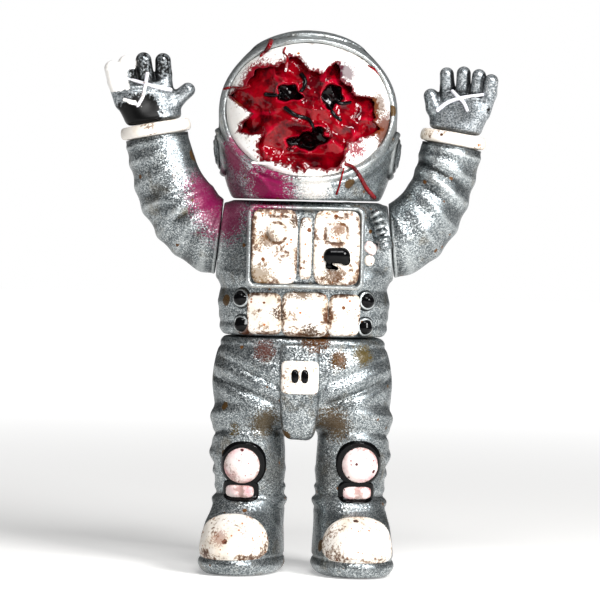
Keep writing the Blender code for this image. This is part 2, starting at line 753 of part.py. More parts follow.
def build_arm(side, body):
    """One arm: the hollow sleeve with its plug, the wrist cuff and the glove."""
    name = SIDE_NAMES[side]
    arm = ARMS[side]
    sections = sleeve_sections(side)
    sleeve = loft(f"{name}_sleeve", sections, body, SILVER, LIMB_COUNT)
    seam, out = shoulder_frame(side)
    root = seam + out * GAP / 2
    reach = WALL + 2 * GAP
    stem, bore = plug(f"{name}_arm_plug", root, -out, ARM_PLUG_RADIUS, ARM_PLUG_BORE, body, reach)
    boolean(sleeve, "UNION", stem)
    hollow = loft(f"{name}_sleeve_hollow", grown(sections, -WALL), body, count=LIMB_COUNT)
    up = arm.wrist_axis(side)
    hole_start, hole_end = arm.wrist - up * 2 * WALL, arm.wrist + up * WALL
    wrist_hole = rod(f"{name}_wrist_hole", hole_start, hole_end, SPIGOT_RADIUS + GAP, body)
    boolean(sleeve, "DIFFERENCE", hollow, bore, wrist_hole)

    cuff_start = arm.wrist + up * GAP
    cuff_end = cuff_start + up * CUFF_LENGTH
    build_cuff(f"{name}_cuff", cuff_start, cuff_end, arm.cuff_radius, body)
    build_glove(side, cuff_end + up * GAP, body)


def build_cuff(name, start, end, radius, body):
    """The rolled ring round the wrist: a turned band with a rounded rim and a hole for the glove."""
    axis = (end - start).normalized()
    length = (end - start).length
    rings = []
    for angle in (-75, -45, 0, 45, 75):
        share = math.sin(math.radians(angle))
        bulge = math.cos(math.radians(angle))
        place = start + axis * length * (0.5 + 0.5 * share / math.sin(math.radians(75)))
        rings.append(rod_sections(place, place + axis, radius - 1.4 * MM * (1 - bulge))[0])
    cuff = loft(name, rings, body, WHITE, LIMB_COUNT)
    hole_start, hole_end = start - axis * WALL, end + axis * WALL
    boolean(cuff, "DIFFERENCE", rod(f"{name}_hole", hole_start, hole_end, SPIGOT_RADIUS + GAP, body))


# Fingers as seen with the palm to the front: how far outwards across the palm each one starts, how
# long it is and how far it leans outwards, in millimetres and degrees.
FINGERS = (
    ("index", -3.9, 7.6, -4),
    ("middle", 0.3, 8.6, 1),
    ("ring", 4.2, 8.6, 5),
    ("little", 7.4, 7.8, 9),
)
FINGER_RADIUS = 2.25 * MM
THUMB_RADIUS = 2.4 * MM
PALM_LENGTH = 9.4 * MM


def build_glove(side, wrist, body):
    """A stubby open glove: palm, four fingers, a thumb, and the spigot that holds it in the sleeve."""
    name = SIDE_NAMES[side]
    arm = ARMS[side]
    size = arm.hand_size
    up = arm.wrist_axis(side)
    turn = Matrix.Rotation(-side * arm.hand_turn, 3, up)
    across = turn @ Vector((side * math.cos(arm.lean), 0, -math.sin(arm.lean)))
    forward = turn @ Vector((0, -1, 0))

    def place(height, outwards=0.0, front=0.0):
        """A point above the wrist, in the hand's own directions."""
        return wrist + (up * height + across * outwards + forward * front) * size

    def ring(height, half_across, half_deep, outwards, front):
        centre = place(height * MM, outwards * MM, front * MM)
        half = half_across * size * MM, half_deep * size * MM
        return Section(centre, *half, 2.3, across, forward)

    palm = [
        ring(0, 7.0, 5.8, 0, 0),
        ring(2.4, 7.6, 5.2, 0.3, 0.2),
        ring(6.4, 8.2, 4.2, 1.0, 0.4),
        ring(9.8, 7.8, 3.2, 1.6, 0.6),
    ]
    glove = loft(f"{name}_glove", palm, body, SILVER, LIMB_COUNT)
    for finger, offset, length, lean in FINGERS:
        turned = math.radians(lean)
        ray = (up * math.cos(turned) + across * math.sin(turned)).normalized()
        base = place(PALM_LENGTH - 3 * MM, offset * MM, 0.6 * MM)
        curl = (ray * 0.92 + forward * 0.39).normalized()
        knuckle = base + ray * length * size * 0.5 * MM
        tip = knuckle + curl * length * size * 0.55 * MM
        digit = finger_form(f"{name}_{finger}", base, knuckle, tip, FINGER_RADIUS * size, body)
        boolean(glove, "UNION", digit)
    thumb_base = place(3.0 * MM, -4.4 * MM, 0.8 * MM)
    thumb_mid = thumb_base + (up * 0.62 - across * 0.78).normalized() * 4.4 * size * MM
    thumb_tip = thumb_mid + (up * 0.92 - across * 0.34 + forward * 0.2).normalized() * 4.2 * size * MM
    thumb = finger_form(f"{name}_thumb", thumb_base, thumb_mid, thumb_tip, THUMB_RADIUS * size, body)
    foot = wrist - up * (CUFF_LENGTH + 2 * WALL)
    boolean(glove, "UNION", thumb, rod(f"{name}_spigot", foot, wrist + up * MM, SPIGOT_RADIUS, body))


def finger_form(name, base, knuckle, tip, radius, body):
    """One bent finger with a rounded end."""
    bent = (tip - knuckle).normalized()
    rings = [
        rod_sections(base, knuckle, radius)[0],
        rod_sections(base, tip, radius)[0],
        rod_sections(knuckle, tip, radius * 0.96)[1],
        rod_sections(knuckle, tip + bent * radius * 0.6, radius * 0.76)[1],
        rod_sections(knuckle, tip + bent * radius * 0.9, radius * 0.3)[1],
    ]
    rings[1] = replace(rings[1], centre=knuckle)
    return loft(name, rings, body, count=FINGER_COUNT)


# ---------------------------------------------------------------- the whole figure


def build_figure():
    """Makes the bodies' pivots and every piece on them."""
    clear_scene()
    figure = pivot("figure", None, FIGURE_SHIFT)

    def body(name, at):
        made = pivot(name, figure, at)
        made["in_figure"] = tuple(at)
        return made

    build_lower_body(body("lower_body", Vector((0, 0, 0))))
    build_torso(body("torso", Vector((0, 0, WAIST_Z))))
    build_head(body("head", Vector((0, 0, NECK_Z))))
    for side in (RIGHT, LEFT):
        seam, _ = shoulder_frame(side)
        build_arm(side, body(f"{SIDE_NAMES[side]}_arm", seam))


build_figure()
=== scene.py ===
"""Looks for a soft-vinyl astronaut figure with raised arms and a broken visor.

The castings are level surfaces of distance fields, because legs, hips, fingers and palms flow into
each other as they do in a slush mould. Everything that lies on a casting is a surface of two
parameters: a pad pressed onto the skin under it, or a profile carried along a path.

Shapes are worked out in the figure's own millimetres: +Z up, the figure faces -Y, its right side is
at -X, and X and Y are counted from the waist's axis. Stand turns them into the frame's metres.
"""

from __future__ import annotations

import json
import logging
import math
from dataclasses import dataclass, field
from enum import Enum
from typing import Callable, ClassVar, Sequence

import bpy
import numpy as np
from mathutils import Matrix, Vector

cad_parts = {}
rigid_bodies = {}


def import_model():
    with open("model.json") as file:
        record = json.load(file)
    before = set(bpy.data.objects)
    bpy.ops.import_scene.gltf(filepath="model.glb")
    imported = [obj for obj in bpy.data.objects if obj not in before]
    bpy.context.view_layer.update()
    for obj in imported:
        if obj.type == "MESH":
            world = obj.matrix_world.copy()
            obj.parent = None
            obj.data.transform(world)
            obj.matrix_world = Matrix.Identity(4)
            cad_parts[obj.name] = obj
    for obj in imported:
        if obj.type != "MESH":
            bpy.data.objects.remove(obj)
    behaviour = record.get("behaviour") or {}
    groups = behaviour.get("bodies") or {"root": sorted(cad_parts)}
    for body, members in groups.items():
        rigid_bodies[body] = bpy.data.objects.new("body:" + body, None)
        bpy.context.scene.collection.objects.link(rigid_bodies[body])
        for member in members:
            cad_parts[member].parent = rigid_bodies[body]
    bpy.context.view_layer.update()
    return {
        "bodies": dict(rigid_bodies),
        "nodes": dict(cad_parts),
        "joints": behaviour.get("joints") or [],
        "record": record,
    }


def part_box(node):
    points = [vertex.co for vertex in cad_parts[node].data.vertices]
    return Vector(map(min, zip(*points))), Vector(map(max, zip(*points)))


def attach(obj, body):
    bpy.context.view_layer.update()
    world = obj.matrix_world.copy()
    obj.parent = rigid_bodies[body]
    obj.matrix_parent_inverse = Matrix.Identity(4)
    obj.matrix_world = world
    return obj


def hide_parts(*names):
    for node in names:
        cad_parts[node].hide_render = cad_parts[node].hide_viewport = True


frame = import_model()

LOG = logging.getLogger("figure")
MM = 0.001
SEAM_GAP = 0.15  # millimetres from a seam's plane to the casting on either side
OPENING_POWER = 2.1  # how square the helmet's opening is; 2 is an ellipse

Array = np.ndarray
Field = Callable[[Array], Array]


class Side(Enum):
    """The figure's own sides. The value is the sign of X."""

    RIGHT = -1
    LEFT = 1

    @property
    def word(self) -> str:
        """The side's name as the nodes spell it."""
        return self.name.lower()


class Body(Enum):
    """The rigid bodies that pieces ride on."""

    LOWER = "lower_body"
    TORSO = "torso"
    HEAD = "head"
    RIGHT_ARM = "right_arm"
    LEFT_ARM = "left_arm"


class Slot(Enum):
    """The record's material slots."""

    SILVER = "silver_vinyl"
    WHITE = "white_vinyl"
    BLACK = "black_gloss"
    RED = "red_resin"


ARM_BODY = {Side.RIGHT: Body.RIGHT_ARM, Side.LEFT: Body.LEFT_ARM}

SLOT_OF = {
    "silver": Slot.SILVER,
    "glove": Slot.SILVER,
    "black": Slot.BLACK,
    "red": Slot.RED,
    "worn": Slot.WHITE,
    "pink": Slot.WHITE,
    "visor": Slot.WHITE,
    "cuff": Slot.WHITE,
    "string": Slot.WHITE,
}


# ---------------------------------------------------------------- numbers and fields


def glide(at: Array, knots: Sequence[float], values: Sequence[float]) -> Array:
    """A smooth curve through values: cubic pieces with the slopes of the neighbouring knots.

    Args:
        at: where to read the curve.
        knots: rising positions of the values.
        values: the curve's values at the knots.

    Returns:
        The curve at each position, held level past both ends.
    """
    x, y = np.asarray(knots, float), np.asarray(values, float)
    slope = np.gradient(y, x)
    place = np.clip(at, x[0], x[-1])
    low = np.clip(np.searchsorted(x, place, side="right") - 1, 0, len(x) - 2)
    span = x[low + 1] - x[low]
    t = (place - x[low]) / span
    keep, pull = (1 + 2 * t) * (1 - t) ** 2, t * (1 - t) ** 2 * span
    reach, push = t * t * (3 - 2 * t), t * t * (t - 1) * span
    return keep * y[low] + pull * slope[low] + reach * y[low + 1] + push * slope[low + 1]


def ease(value: Array, low: float, high: float) -> Array:
    """0 below low, 1 above high, and a smooth S between them."""
    t = np.clip((value - low) / (high - low), 0.0, 1.0)
    return t * t * (3 - 2 * t)


def bump(value: Array, centre: float, width: float) -> Array:
    """A bell curve of height 1 round centre."""
    return np.exp(-(((value - centre) / width) ** 2))


def join(a: Array, b: Array, reach: float) -> Array:
    """The union of two fields, with a fillet that starts where they are within reach."""
    h = np.maximum(reach - np.abs(a - b), 0.0) / reach
    return np.minimum(a, b) - h * h * reach * 0.25


def cut(a: Array, b: Array, reach: float) -> Array:
    """What is inside both fields, with the edge between them rounded."""
    return -join(-a, -b, reach)


def ripple(points: Array, pitch: float, seed: int, waves: int = 7) -> Array:
    """Soft unevenness: the mean of several sine waves that run in seeded directions.

    Args:
        points: positions in millimetres, one per row.
        pitch: the mean wavelength in millimetres.
        seed: makes the pattern repeatable.
        waves: how many sine waves are laid over each other.

    Returns:
        A value of about -1 to 1 at each point.
    """
    random = np.random.default_rng(seed)
    ways = random.normal(size=(waves, 3))
    ways /= np.linalg.norm(ways, axis=1, keepdims=True)
    rates = 2 * math.pi / pitch * random.uniform(0.6, 1.5, waves)
    phases = random.uniform(0, 2 * math.pi, waves)
    return np.sin(points @ (ways * rates[:, None]).T + phases).sum(1) / math.sqrt(waves)


def sheet_ripple(a: Array, b: Array, pitch: float, seed: int) -> Array:
    """The ripple at places of a flat sheet, in the shape that the places come in."""
    places = np.stack([a, b, a * 0], -1).reshape(-1, 3)
    return ripple(places, pitch, seed).reshape(a.shape)


def oval(x: Array, z: Array, half_x: float, half_z: float, power: float = 2.0) -> Array:
    """How far out a point lies from a superellipse, as a share of its radius: 1 on the outline."""
    return (np.abs(x / half_x) ** power + np.abs(z / half_z) ** power) ** (1 / power)


def unit(vector: Sequence[float]) -> Array:
    """The vector at length 1."""
    found = np.asarray(vector, float)
    return found / np.linalg.norm(found)


def rod_field(points: Array, start: Array, end: Array, first: float, last: float) -> Array:
    """The distance to a round rod with ball ends, whose radius runs from first to last."""
    axis = end - start
    t = np.clip((points - start) @ axis / (axis @ axis), 0.0, 1.0)
    return np.linalg.norm(points - start - t[:, None] * axis, axis=1) - (first + (last - first) * t)


def rounded_box(
    points: Array,
    centre: Sequence[float],
    half: Sequence[float],
    round_by: float,
) -> Array:
    """The distance to a box with rounded edges."""
    q = np.abs(points - np.asarray(centre)) - (np.asarray(half) - round_by)
    outside = np.linalg.norm(np.maximum(q, 0.0), axis=1)
    return outside + np.minimum(q.max(1), 0.0) - round_by


@dataclass(frozen=True)
class Column:
    """An upright solid: a superellipse whose size and centre glide with height.

    The field is the distance to the outline at the point's level, r - r / s, where s is how far out
    the point is as a share of the outline, and the ends are rounded off by edge.
    """

    heights: Sequence[float]
    half_x: Sequence[float]
    half_y: Sequence[float]
    x: Sequence[float]
    y: Sequence[float]
    power: float = 2.4
    edge: float = 0.8

    def side(self, points: Array) -> Array:
        """The distance to the column's side alone."""
        z = points[:, 2]
        dx = points[:, 0] - glide(z, self.heights, self.x)
        dy = points[:, 1] - glide(z, self.heights, self.y)
        half_x, half_y = glide(z, self.heights, self.half_x), glide(z, self.heights, self.half_y)
        share = oval(dx, dy, half_x, half_y, self.power)
        across = np.hypot(dx, dy) + 1e-6
        return across - across / np.maximum(share, 1e-3)

    def __call__(self, points: Array) -> Array:
        """The distance to the closed column."""
        z = points[:, 2]
        ends = np.maximum(self.heights[0] - z, z - self.heights[-1])
        return cut(self.side(points), ends, self.edge)


@dataclass(frozen=True)
class Fold:
    """A roll of the suit round a limb: a raised ring, tilted, and stronger on one side.

    At the position s along the limb and the angle a round it, the roll adds
    swell * bell((s - place - tilt * cos(a - tilt_at)) / width) * (share of the way to facing).
    """

    place: float
    swell: float
    width: float
    tilt: float = 0.0
    tilt_at: float = 0.0
    facing: float = 0.0
    spread: float = 0.0

    def height(self, along: Array, angle: Array) -> Array:
        """How far the roll stands out."""
        tilted = along - self.tilt * np.cos(angle - math.radians(self.tilt_at))
        ridge = bump(tilted, self.place, self.width)
        near = (0.5 + 0.5 * np.cos(angle - math.radians(self.facing))) ** self.spread
        return self.swell * ridge * near


def folds_height(folds: Sequence[Fold], along: Array, angle: Array) -> Array:
    """The folds' heights added up."""
    return sum((fold.height(along, angle) for fold in folds), np.zeros_like(along))


# ---------------------------------------------------------------- meshes


@dataclass
class Shape:
    """A closed surface in the figure's millimetres, with values per point for the paint."""

    points: Array
    quads: Array
    triangles: Array = field(default_factory=lambda: np.zeros((0, 3), int))
    paint: dict[str, Array] = field(default_factory=dict)

    def turned_out(self) -> "Shape":
        """The same shape with its faces pointing outwards, judged by its signed volume."""
        corners = np.vstack([self.quads[:, [0, 1, 2]], self.quads[:, [0, 2, 3]], self.triangles])
        a, b, c = (self.points[corners[:, i]] for i in range(3))
        if np.einsum("ij,ij->i", a, np.cross(b, c)).sum() < 0:
            return Shape(self.points, self.quads[:, ::-1], self.triangles[:, ::-1], self.paint)
        return self


def poled(rings: Array, start: Array, end: Array, paint: dict[str, Array] | None = None) -> Shape:
    """Closes a grid of rings with a pole at each end.

    Args:
        rings: the grid, as rows of closed rings.
        start: the pole before the first ring.
        end: the pole after the last ring.
        paint: values for the paint, one for each point of the grid.

    Returns:
        The closed shape. A pole takes the mean of its ring's paint.
    """
    rows, columns = rings.shape[:2]
    points = np.vstack([start[None], rings.reshape(-1, 3), end[None]])
    index = 1 + np.arange(rows * columns).reshape(rows, columns)
    beside = np.roll(index, -1, axis=1)
    quads = np.stack([index[:-1], beside[:-1], beside[1:], index[1:]], axis=-1).reshape(-1, 4)
    first = np.stack([np.zeros(columns, int), beside[0], index[0]], axis=-1)
    last = np.stack([np.full(columns, len(points) - 1), index[-1], beside[-1]], axis=-1)
    values = {}
    for name, grid in (paint or {}).items():
        values[name] = np.concatenate([[grid[0].mean()], grid.ravel(), [grid[-1].mean()]])
    return Shape(points, quads, np.vstack([first, last]), values).turned_out()


def sample(solid: Field, low: Array, high: Array, cell: float) -> tuple[Array, Array]:
    """Reads a field on a grid, in full only near its surface.

    The field is first read at the middle of blocks of cells. A block whose middle is further from
    the surface than its own corner keeps that one value.

    Args:
        solid: the field, negative inside.
        low: the grid's lowest corner.
        high: the corner that the grid reaches at least.
        cell: the grid's spacing.

    Returns:
        The values on the grid, and the grid's lowest corner.
    """
    block = 6
    blocks = np.ceil((high - low) / cell / block).astype(int)
    middles = [low[i] + cell * (block * (np.arange(blocks[i]) + 0.5) - 0.5) for i in range(3)]
    centres = np.stack(np.meshgrid(*middles, indexing="ij"), axis=-1).reshape(-1, 3)
    coarse = solid(centres).reshape(blocks)
    near = np.abs(coarse) < block * cell * 1.5 + 1.0
    for axis in range(3):
        coarse, near = np.repeat(coarse, block, axis), np.repeat(near, block, axis)
    places = np.argwhere(near)
    values = coarse.astype(float)
    chunks = [
        solid(low + cell * part) for part in np.array_split(places, len(places) // 400000 + 1)
    ]
    values[near] = np.concatenate(chunks)
    return values, low


def slopes(solid: Field, points: Array, step: float) -> Array:
    """The field's gradient, by central differences."""
    found = np.empty_like(points)
    for axis in range(3):
        offset = np.zeros(3)
        offset[axis] = step
        found[:, axis] = (solid(points + offset) - solid(points - offset)) / (2 * step)
    return found


def level_surface(solid: Field, low: Sequence[float], high: Sequence[float], cell: float) -> Shape:
    """The surface where a field is zero.

    Each cell that the surface crosses gets one point, at the mean of the crossings on its edges,
    and each crossed edge gets a face between the four cells round it. The points are then drawn
    onto the surface along the gradient. The paint values say how deep in a crease a point lies
    (cavity) and how sharp an outer edge it is on (ridge), from the field near the skin.

    Args:
        solid: the field, negative inside.
        low: the lowest corner of the space that the solid is in.
        high: the highest corner of that space.
        cell: the size of a cell.

    Returns:
        The closed surface.
    """
    values, origin = sample(solid, np.asarray(low, float), np.asarray(high, float), cell)
    inside = values < 0
    corners = [(i, j, k) for i in (0, 1) for j in (0, 1) for k in (0, 1)]
    size = np.array(values.shape) - 1
    views = [inside[i : size[0] + i, j : size[1] + j, k : size[2] + k] for i, j, k in corners]
    some, every = np.logical_or.reduce(views), np.logical_and.reduce(views)
    cells = np.argwhere(some & ~every)

    total, crossings = np.zeros((len(cells), 3)), np.zeros(len(cells))
    for a in corners:
        for axis in range(3):
            if a[axis] == 0:
                b = tuple(a[i] + (i == axis) for i in range(3))
                start, end = values[tuple((cells + a).T)], values[tuple((cells + b).T)]
                crosses = (start < 0) != (end < 0)
                share = np.where(crosses, start / np.where(crosses, start - end, 1.0), 0.0)
                spot = np.array(a) + share[:, None] * (np.array(b) - np.array(a))
                total += np.where(crosses[:, None], spot, 0.0)
                crossings += crosses
    points = origin + cell * (cells + total / crossings[:, None])

    number = np.full(values.shape, -1)
    number[tuple(cells.T)] = np.arange(len(cells))
    faces = []
    for axis in range(3):
        u, v = np.eye(3, dtype=int)[(axis + 1) % 3], np.eye(3, dtype=int)[(axis + 2) % 3]
        step = np.eye(3, dtype=int)[axis]
        trimmed = tuple(slice(0, n - s) for n, s in zip(inside.shape, step))
        shifted = tuple(slice(s, None) for s in step)
        changed = inside[trimmed] != inside[shifted]
        edges = np.argwhere(changed)
        quad = np.stack([number[tuple((edges - d).T)] for d in (0 * u, u, u + v, v)], axis=-1)
        leaving = inside[tuple(edges.T)]
        faces.append(np.where(leaving[:, None], quad, quad[:, ::-1]))
    quads = np.vstack(faces)

    for _ in range(3):
        value, slope = solid(points), slopes(solid, points, cell * 0.25)
        pull = value / np.maximum((slope**2).sum(1), 0.05)
        points -= np.clip(pull, -cell, cell)[:, None] * slope
    slope = slopes(solid, points, cell * 0.25)
    normal = slope / np.maximum(np.linalg.norm(slope, axis=1, keepdims=True), 1e-6)
    # the silver, glove and red finishes turn cavity into painted shade and ridge into a painted
    # highlight
    reach = 1.3
    cavity = np.clip(1.0 - solid(points + normal * reach) / reach, 0.0, 1.0)
    ridge = np.clip(1.0 + solid(points - normal * reach) / reach, 0.0, 1.0)
    return Shape(points, quads, paint={"cavity": cavity, "ridge": ridge}).turned_out()


class Stand:
    """Turns between the frame's metres and the figure's own millimetres, and hangs pieces up."""

    def __init__(self, loaded: dict) -> None:
        """Reads the joints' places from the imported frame."""
        self.joints = {joint["name"]: joint for joint in loaded["joints"]}
        self.axis = np.array([*self.joints["waist"]["pos_m"][:2], 0.0]) / MM

    def box(self, *nodes: str) -> tuple[Array, Array]:
        """The lowest and highest corner of some nodes together, in the figure's millimetres."""
        corners = np.array([[list(corner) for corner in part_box(node)] for node in nodes]) / MM
        return corners[:, 0].min(0) - self.axis, corners[:, 1].max(0) - self.axis

    def middle(self, *nodes: str) -> Array:
        """The centre of some nodes' box, in the figure's millimetres."""
        low, high = self.box(*nodes)
        return (low + high) / 2

    def seam(self, side: Side) -> tuple[Array, Array]:
        """A shoulder's centre on its seam, and the direction that its axis leaves the body."""
        joint = self.joints[f"{side.word}_shoulder"]
        return np.array(joint["pos_m"]) / MM - self.axis, unit(joint["axis"])

    def metres(self, point: Sequence[float]) -> tuple[float, float, float]:
        """A point of the figure in the frame's metres."""
        return tuple((np.asarray(point, float) + self.axis) * MM)

    def add(
        self,
        name: str,
        shape: Shape,
        body: Body,
        slot: Slot,
        finish: bpy.types.Material,
        nodes: Sequence[str],
    ) -> None:
        """Makes a shape a piece of the figure.

        Args:
            name: the piece's name.
            shape: its surface.
            body: the body it rides on.
            slot: not used. It is the record's slot that its finish belongs to.
            finish: its material.
            nodes: the CAD nodes that it stands for.
        """
        mesh = bpy.data.meshes.new(name)
        faces = shape.quads.tolist() + shape.triangles.tolist()
        mesh.from_pydata(((shape.points + self.axis) * MM).tolist(), [], faces)
        for key, values in shape.paint.items():
            layer = mesh.attributes.new(key, "FLOAT", "POINT")
            layer.data.foreach_set("value", np.asarray(values, np.float32))
        mesh.materials.append(finish)
        mesh.shade_smooth()
        piece = bpy.data.objects.new(name, mesh)
        bpy.context.scene.collection.objects.link(piece)
        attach(piece, body.value)
        if nodes:
            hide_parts(*nodes)
        LOG.info("%s: %d points on %s", name, len(mesh.vertices), body.value)


def land(solid: Field, places: Array, way: Array, reach: float = 30.0) -> Array:
    """Drops points onto a solid's skin, by steps as long as the field says is free.

    Args:
        solid: the field of the solid.
        places: points on a plane through or near the solid.
        way: the unit direction that the skin faces; the points fall against it.
        reach: how far outside of their places the points start.

    Returns:
        The points on the skin, or where they were after the last step if they miss it.
    """
    found = places + way * reach
    for _ in range(60):
        found = found - way * np.clip(solid(found), -2.0, 4.0)[:, None] * 0.8
    return found


@dataclass(frozen=True)
class Pad:
    """A raised piece that lies on a casting's skin.

    Its outline is a superellipse on a plane across `way`. The point at the share rho of the way to
    the outline drops onto the skin and is raised by height * crown(rho). The back lies under it.
    """

    centre: Sequence[float]
    half: tuple[float, float]
    height: float
    way: Sequence[float] = (0.0, -1.0, 0.0)
    power: float = 2.0
    edge: float = 0.25
    dome: float = 0.5
    roll: float = 0.0
    sink: float = 0.8

    def axes(self) -> tuple[Array, Array, Array]:
        """The pad's own right, up and outward directions."""
        out = unit(self.way)
        right = unit(np.cross([0.0, 0.0, 1.0], out)) if abs(out[2]) < 0.95 else np.array(
            [1.0, 0, 0]
        )
        right = -right if right[0] < 0 else right
        up = unit(np.cross(right, out))
        up = -up if up[2] < 0 else up
        c, s = math.cos(math.radians(self.roll)), math.sin(math.radians(self.roll))
        return right * c + up * s, up * c - right * s, out

    def crown(self, share: Array) -> Array:
        """The height over the skin as a share: a quarter round at the edge, a low dome inside."""
        inset = np.clip((1 - share) / self.edge, 0.0, 1.0)
        lip = np.sqrt(np.clip(1 - (1 - inset) ** 2, 0.0, 1.0))
        return lip * ((1 - self.dome) + self.dome * (1 - share**2))

    def shape(
        self,
        skin: Field,
        relief: Callable[[Array, Array], Array] | None = None,
        rows: int = 26,
        columns: int = 96,
    ) -> Shape:
        """Presses the pad onto a skin.

        Args:
            skin: the field of the casting under it.
            relief: extra height in millimetres at (right, up) from the pad's centre.
            rows: rings from the middle to the edge.
            columns: points round the outline.

        Returns:
            The closed pad, with cavity and ridge paint from its own edge.
        """
        right, up, out = self.axes()
        angle = 2 * math.pi * np.arange(columns) / columns
        reach = 1 / oval(np.cos(angle), np.sin(angle), 1.0, 1.0, self.power)
        share = np.sin(0.5 * math.pi * np.arange(1, rows + 1) / rows)[:, None]
        a = share * reach * np.cos(angle) * self.half[0]
        b = share * reach * np.sin(angle) * self.half[1]
        plane = np.asarray(self.centre, float) + a[..., None] * right + b[..., None] * up
        seated = land(skin, plane.reshape(-1, 3), out).reshape(rows, columns, 3)
        crown = self.crown(np.broadcast_to(share, a.shape))
        lift = self.height * crown
        extra = relief(a, b) * crown if relief else a * 0
        front = seated + (lift + extra)[..., None] * out
        back = seated[::-1] - self.sink * out
        top, bottom = front[0].mean(0), back[-1].mean(0)
        # where a pad meets its casting it carries cavity, and its lip carries ridge: on silver
        # these are painted shade and a painted highlight, on white paint the cavity takes the rust
        # wash
        wash = np.broadcast_to(ease(share, 0.72, 1.0), a.shape)
        sharp = np.broadcast_to(bump(share, 1 - self.edge * 0.8, 0.08), a.shape)
        sunken = np.clip(wash + np.clip(-extra / 0.3, 0.0, 1.0), 0.0, 1.0)
        paint = {
            "cavity": np.vstack([sunken, np.ones_like(wash)]),
            "ridge": np.vstack([sharp, np.zeros_like(sharp)]),
        }
        return poled(np.concatenate([front, back]), top, bottom, paint)


@dataclass(frozen=True)
class Tube:
    """A round profile carried along a smooth path through a few points."""

    route: Sequence[Sequence[float]]
    radius: float
    end_radius: float | None = None
    rings: Callable[[Array], Array] | None = None
    steps: int = 60
    columns: int = 20

    def path(self) -> tuple[Array, Array]:
        """Points spaced evenly along the path, and the distance travelled to each."""
        knots = np.asarray(self.route, float)
        chord = np.concatenate([[0], np.cumsum(np.linalg.norm(np.diff(knots, axis=0), axis=1))])
        at = np.linspace(0, chord[-1], self.steps)
        return np.stack([glide(at, chord, knots[:, i]) for i in range(3)], axis=-1), at

    def shape(self) -> Shape:
        """Carries a ring along the path. Its radius is the plain one plus what `rings` adds."""
        line, at = self.path()
        along = np.gradient(line, axis=0)
        along /= np.linalg.norm(along, axis=1, keepdims=True)
        level = np.array([0.31, 0.83, 0.46])
        u = np.cross(along, level)
        u /= np.linalg.norm(u, axis=1, keepdims=True)
        v = np.cross(along, u)
        last = self.radius if self.end_radius is None else self.end_radius
        size = self.radius + (last - self.radius) * at / at[-1]
        size = size + (self.rings(at) if self.rings else 0.0)
        rim = np.minimum(at, at[-1] - at) / np.minimum(self.radius, last)
        size = size * np.sqrt(np.clip(1 - (1 - np.clip(rim, 0, 1)) ** 2, 0.04, 1))
        angle = 2 * math.pi * np.arange(self.columns) / self.columns
        circle = np.cos(angle)[None, :, None] * u[:, None] + np.sin(angle)[None, :, None] * v[
            :, None
        ]
        grid = line[:, None] + size[:, None, None] * circle
        # painted shade in the ribs' troughs and a painted highlight on their crests, as cavity and
        # ridge
        swing = self.rings(at) if self.rings else size * 0
        low, high = (np.clip(k * swing, 0, 1)[:, None] for k in (-1.6, 3.0))
        paint = {
            "cavity": np.repeat(low, self.columns, 1), "ridge": np.repeat(high, self.columns, 1)
        }
        return poled(grid, line[0], line[-1], paint)


def turned(
    foot: Array,
    axis: Array,
    profile: Sequence[tuple[float, float]],
    columns: int = 120,
) -> Shape:
    """A profile spun round an axis.

    Args:
        foot: the point on the axis that heights are counted from.
        axis: the unit direction of the axis.
        profile: (radius, height) points in order. They are joined by a smooth curve.
        columns: points round the axis.

    Returns:
        The closed turned shape.
    """
    knots = np.asarray(profile, float)
    chord = np.concatenate([[0], np.cumsum(np.linalg.norm(np.diff(knots, axis=0), axis=1))])
    at = np.linspace(0, chord[-1], 48)
    radius, height = glide(at, chord, knots[:, 0]), glide(at, chord, knots[:, 1])
    u = unit(np.cross(axis, [0.0, 1.0, 0.0] if abs(axis[1]) < 0.9 else [1.0, 0.0, 0.0]))
    v = np.cross(axis, u)
    angle = 2 * math.pi * np.arange(columns) / columns
    circle = np.cos(angle)[:, None] * u + np.sin(angle)[:, None] * v
    grid = foot + height[:, None, None] * axis + np.maximum(radius, 0.02)[:, None, None] * circle
    flat = np.zeros(grid.shape[:2])
    return poled(grid, grid[0].mean(0), grid[-1].mean(0), {"cavity": flat, "ridge": flat.copy()})


# ---------------------------------------------------------------- finishes


def linear(code: str) -> tuple[float, float, float, float]:
    """An sRGB hex colour as the linear colour that a shader takes."""
    shares = [int(code.lstrip("#")[i : i + 2], 16) / 255 for i in (0, 2, 4)]
    return (*(c / 12.92 if c <= 0.04045 else ((c + 0.055) / 1.055) ** 2.4 for c in shares), 1.0)


def add_node(
    tree: bpy.types.NodeTree,
    kind: str,
    inputs: dict[int | str, object] | None = None,
    links: dict[int | str, bpy.types.NodeSocket] | None = None,
    **settings: object,
) -> bpy.types.Node:
    """Adds one node.

    Args:
        tree: the node tree.
        kind: the node's type name.
        inputs: values for its sockets.
        links: the sockets that feed its sockets.
        **settings: the node's own properties.

    Returns:
        The new node.
    """
    node = tree.nodes.new(kind)
    for key, value in settings.items():
        setattr(node, key, value)
    for key, value in (inputs or {}).items():
        node.inputs[key].default_value = value
    for key, source in (links or {}).items():
        tree.links.new(source, node.inputs[key])
    return node


@dataclass(frozen=True)
class Spray:
    """Paint sprayed or flicked at one place, or painted shade laid the same way: a ball of droplets
    that thins out to its edge.
    """

    centre: tuple[float, float, float]
    reach: float
    colour: str
    strength: float = 1.0


@dataclass(frozen=True)
class Spots:
    """Droplets flicked on: round spots of one colour, one to a cell of the given pitch."""

    pitch: float
    share: float
    size: float
    colour: str
    ragged: float = 0.16


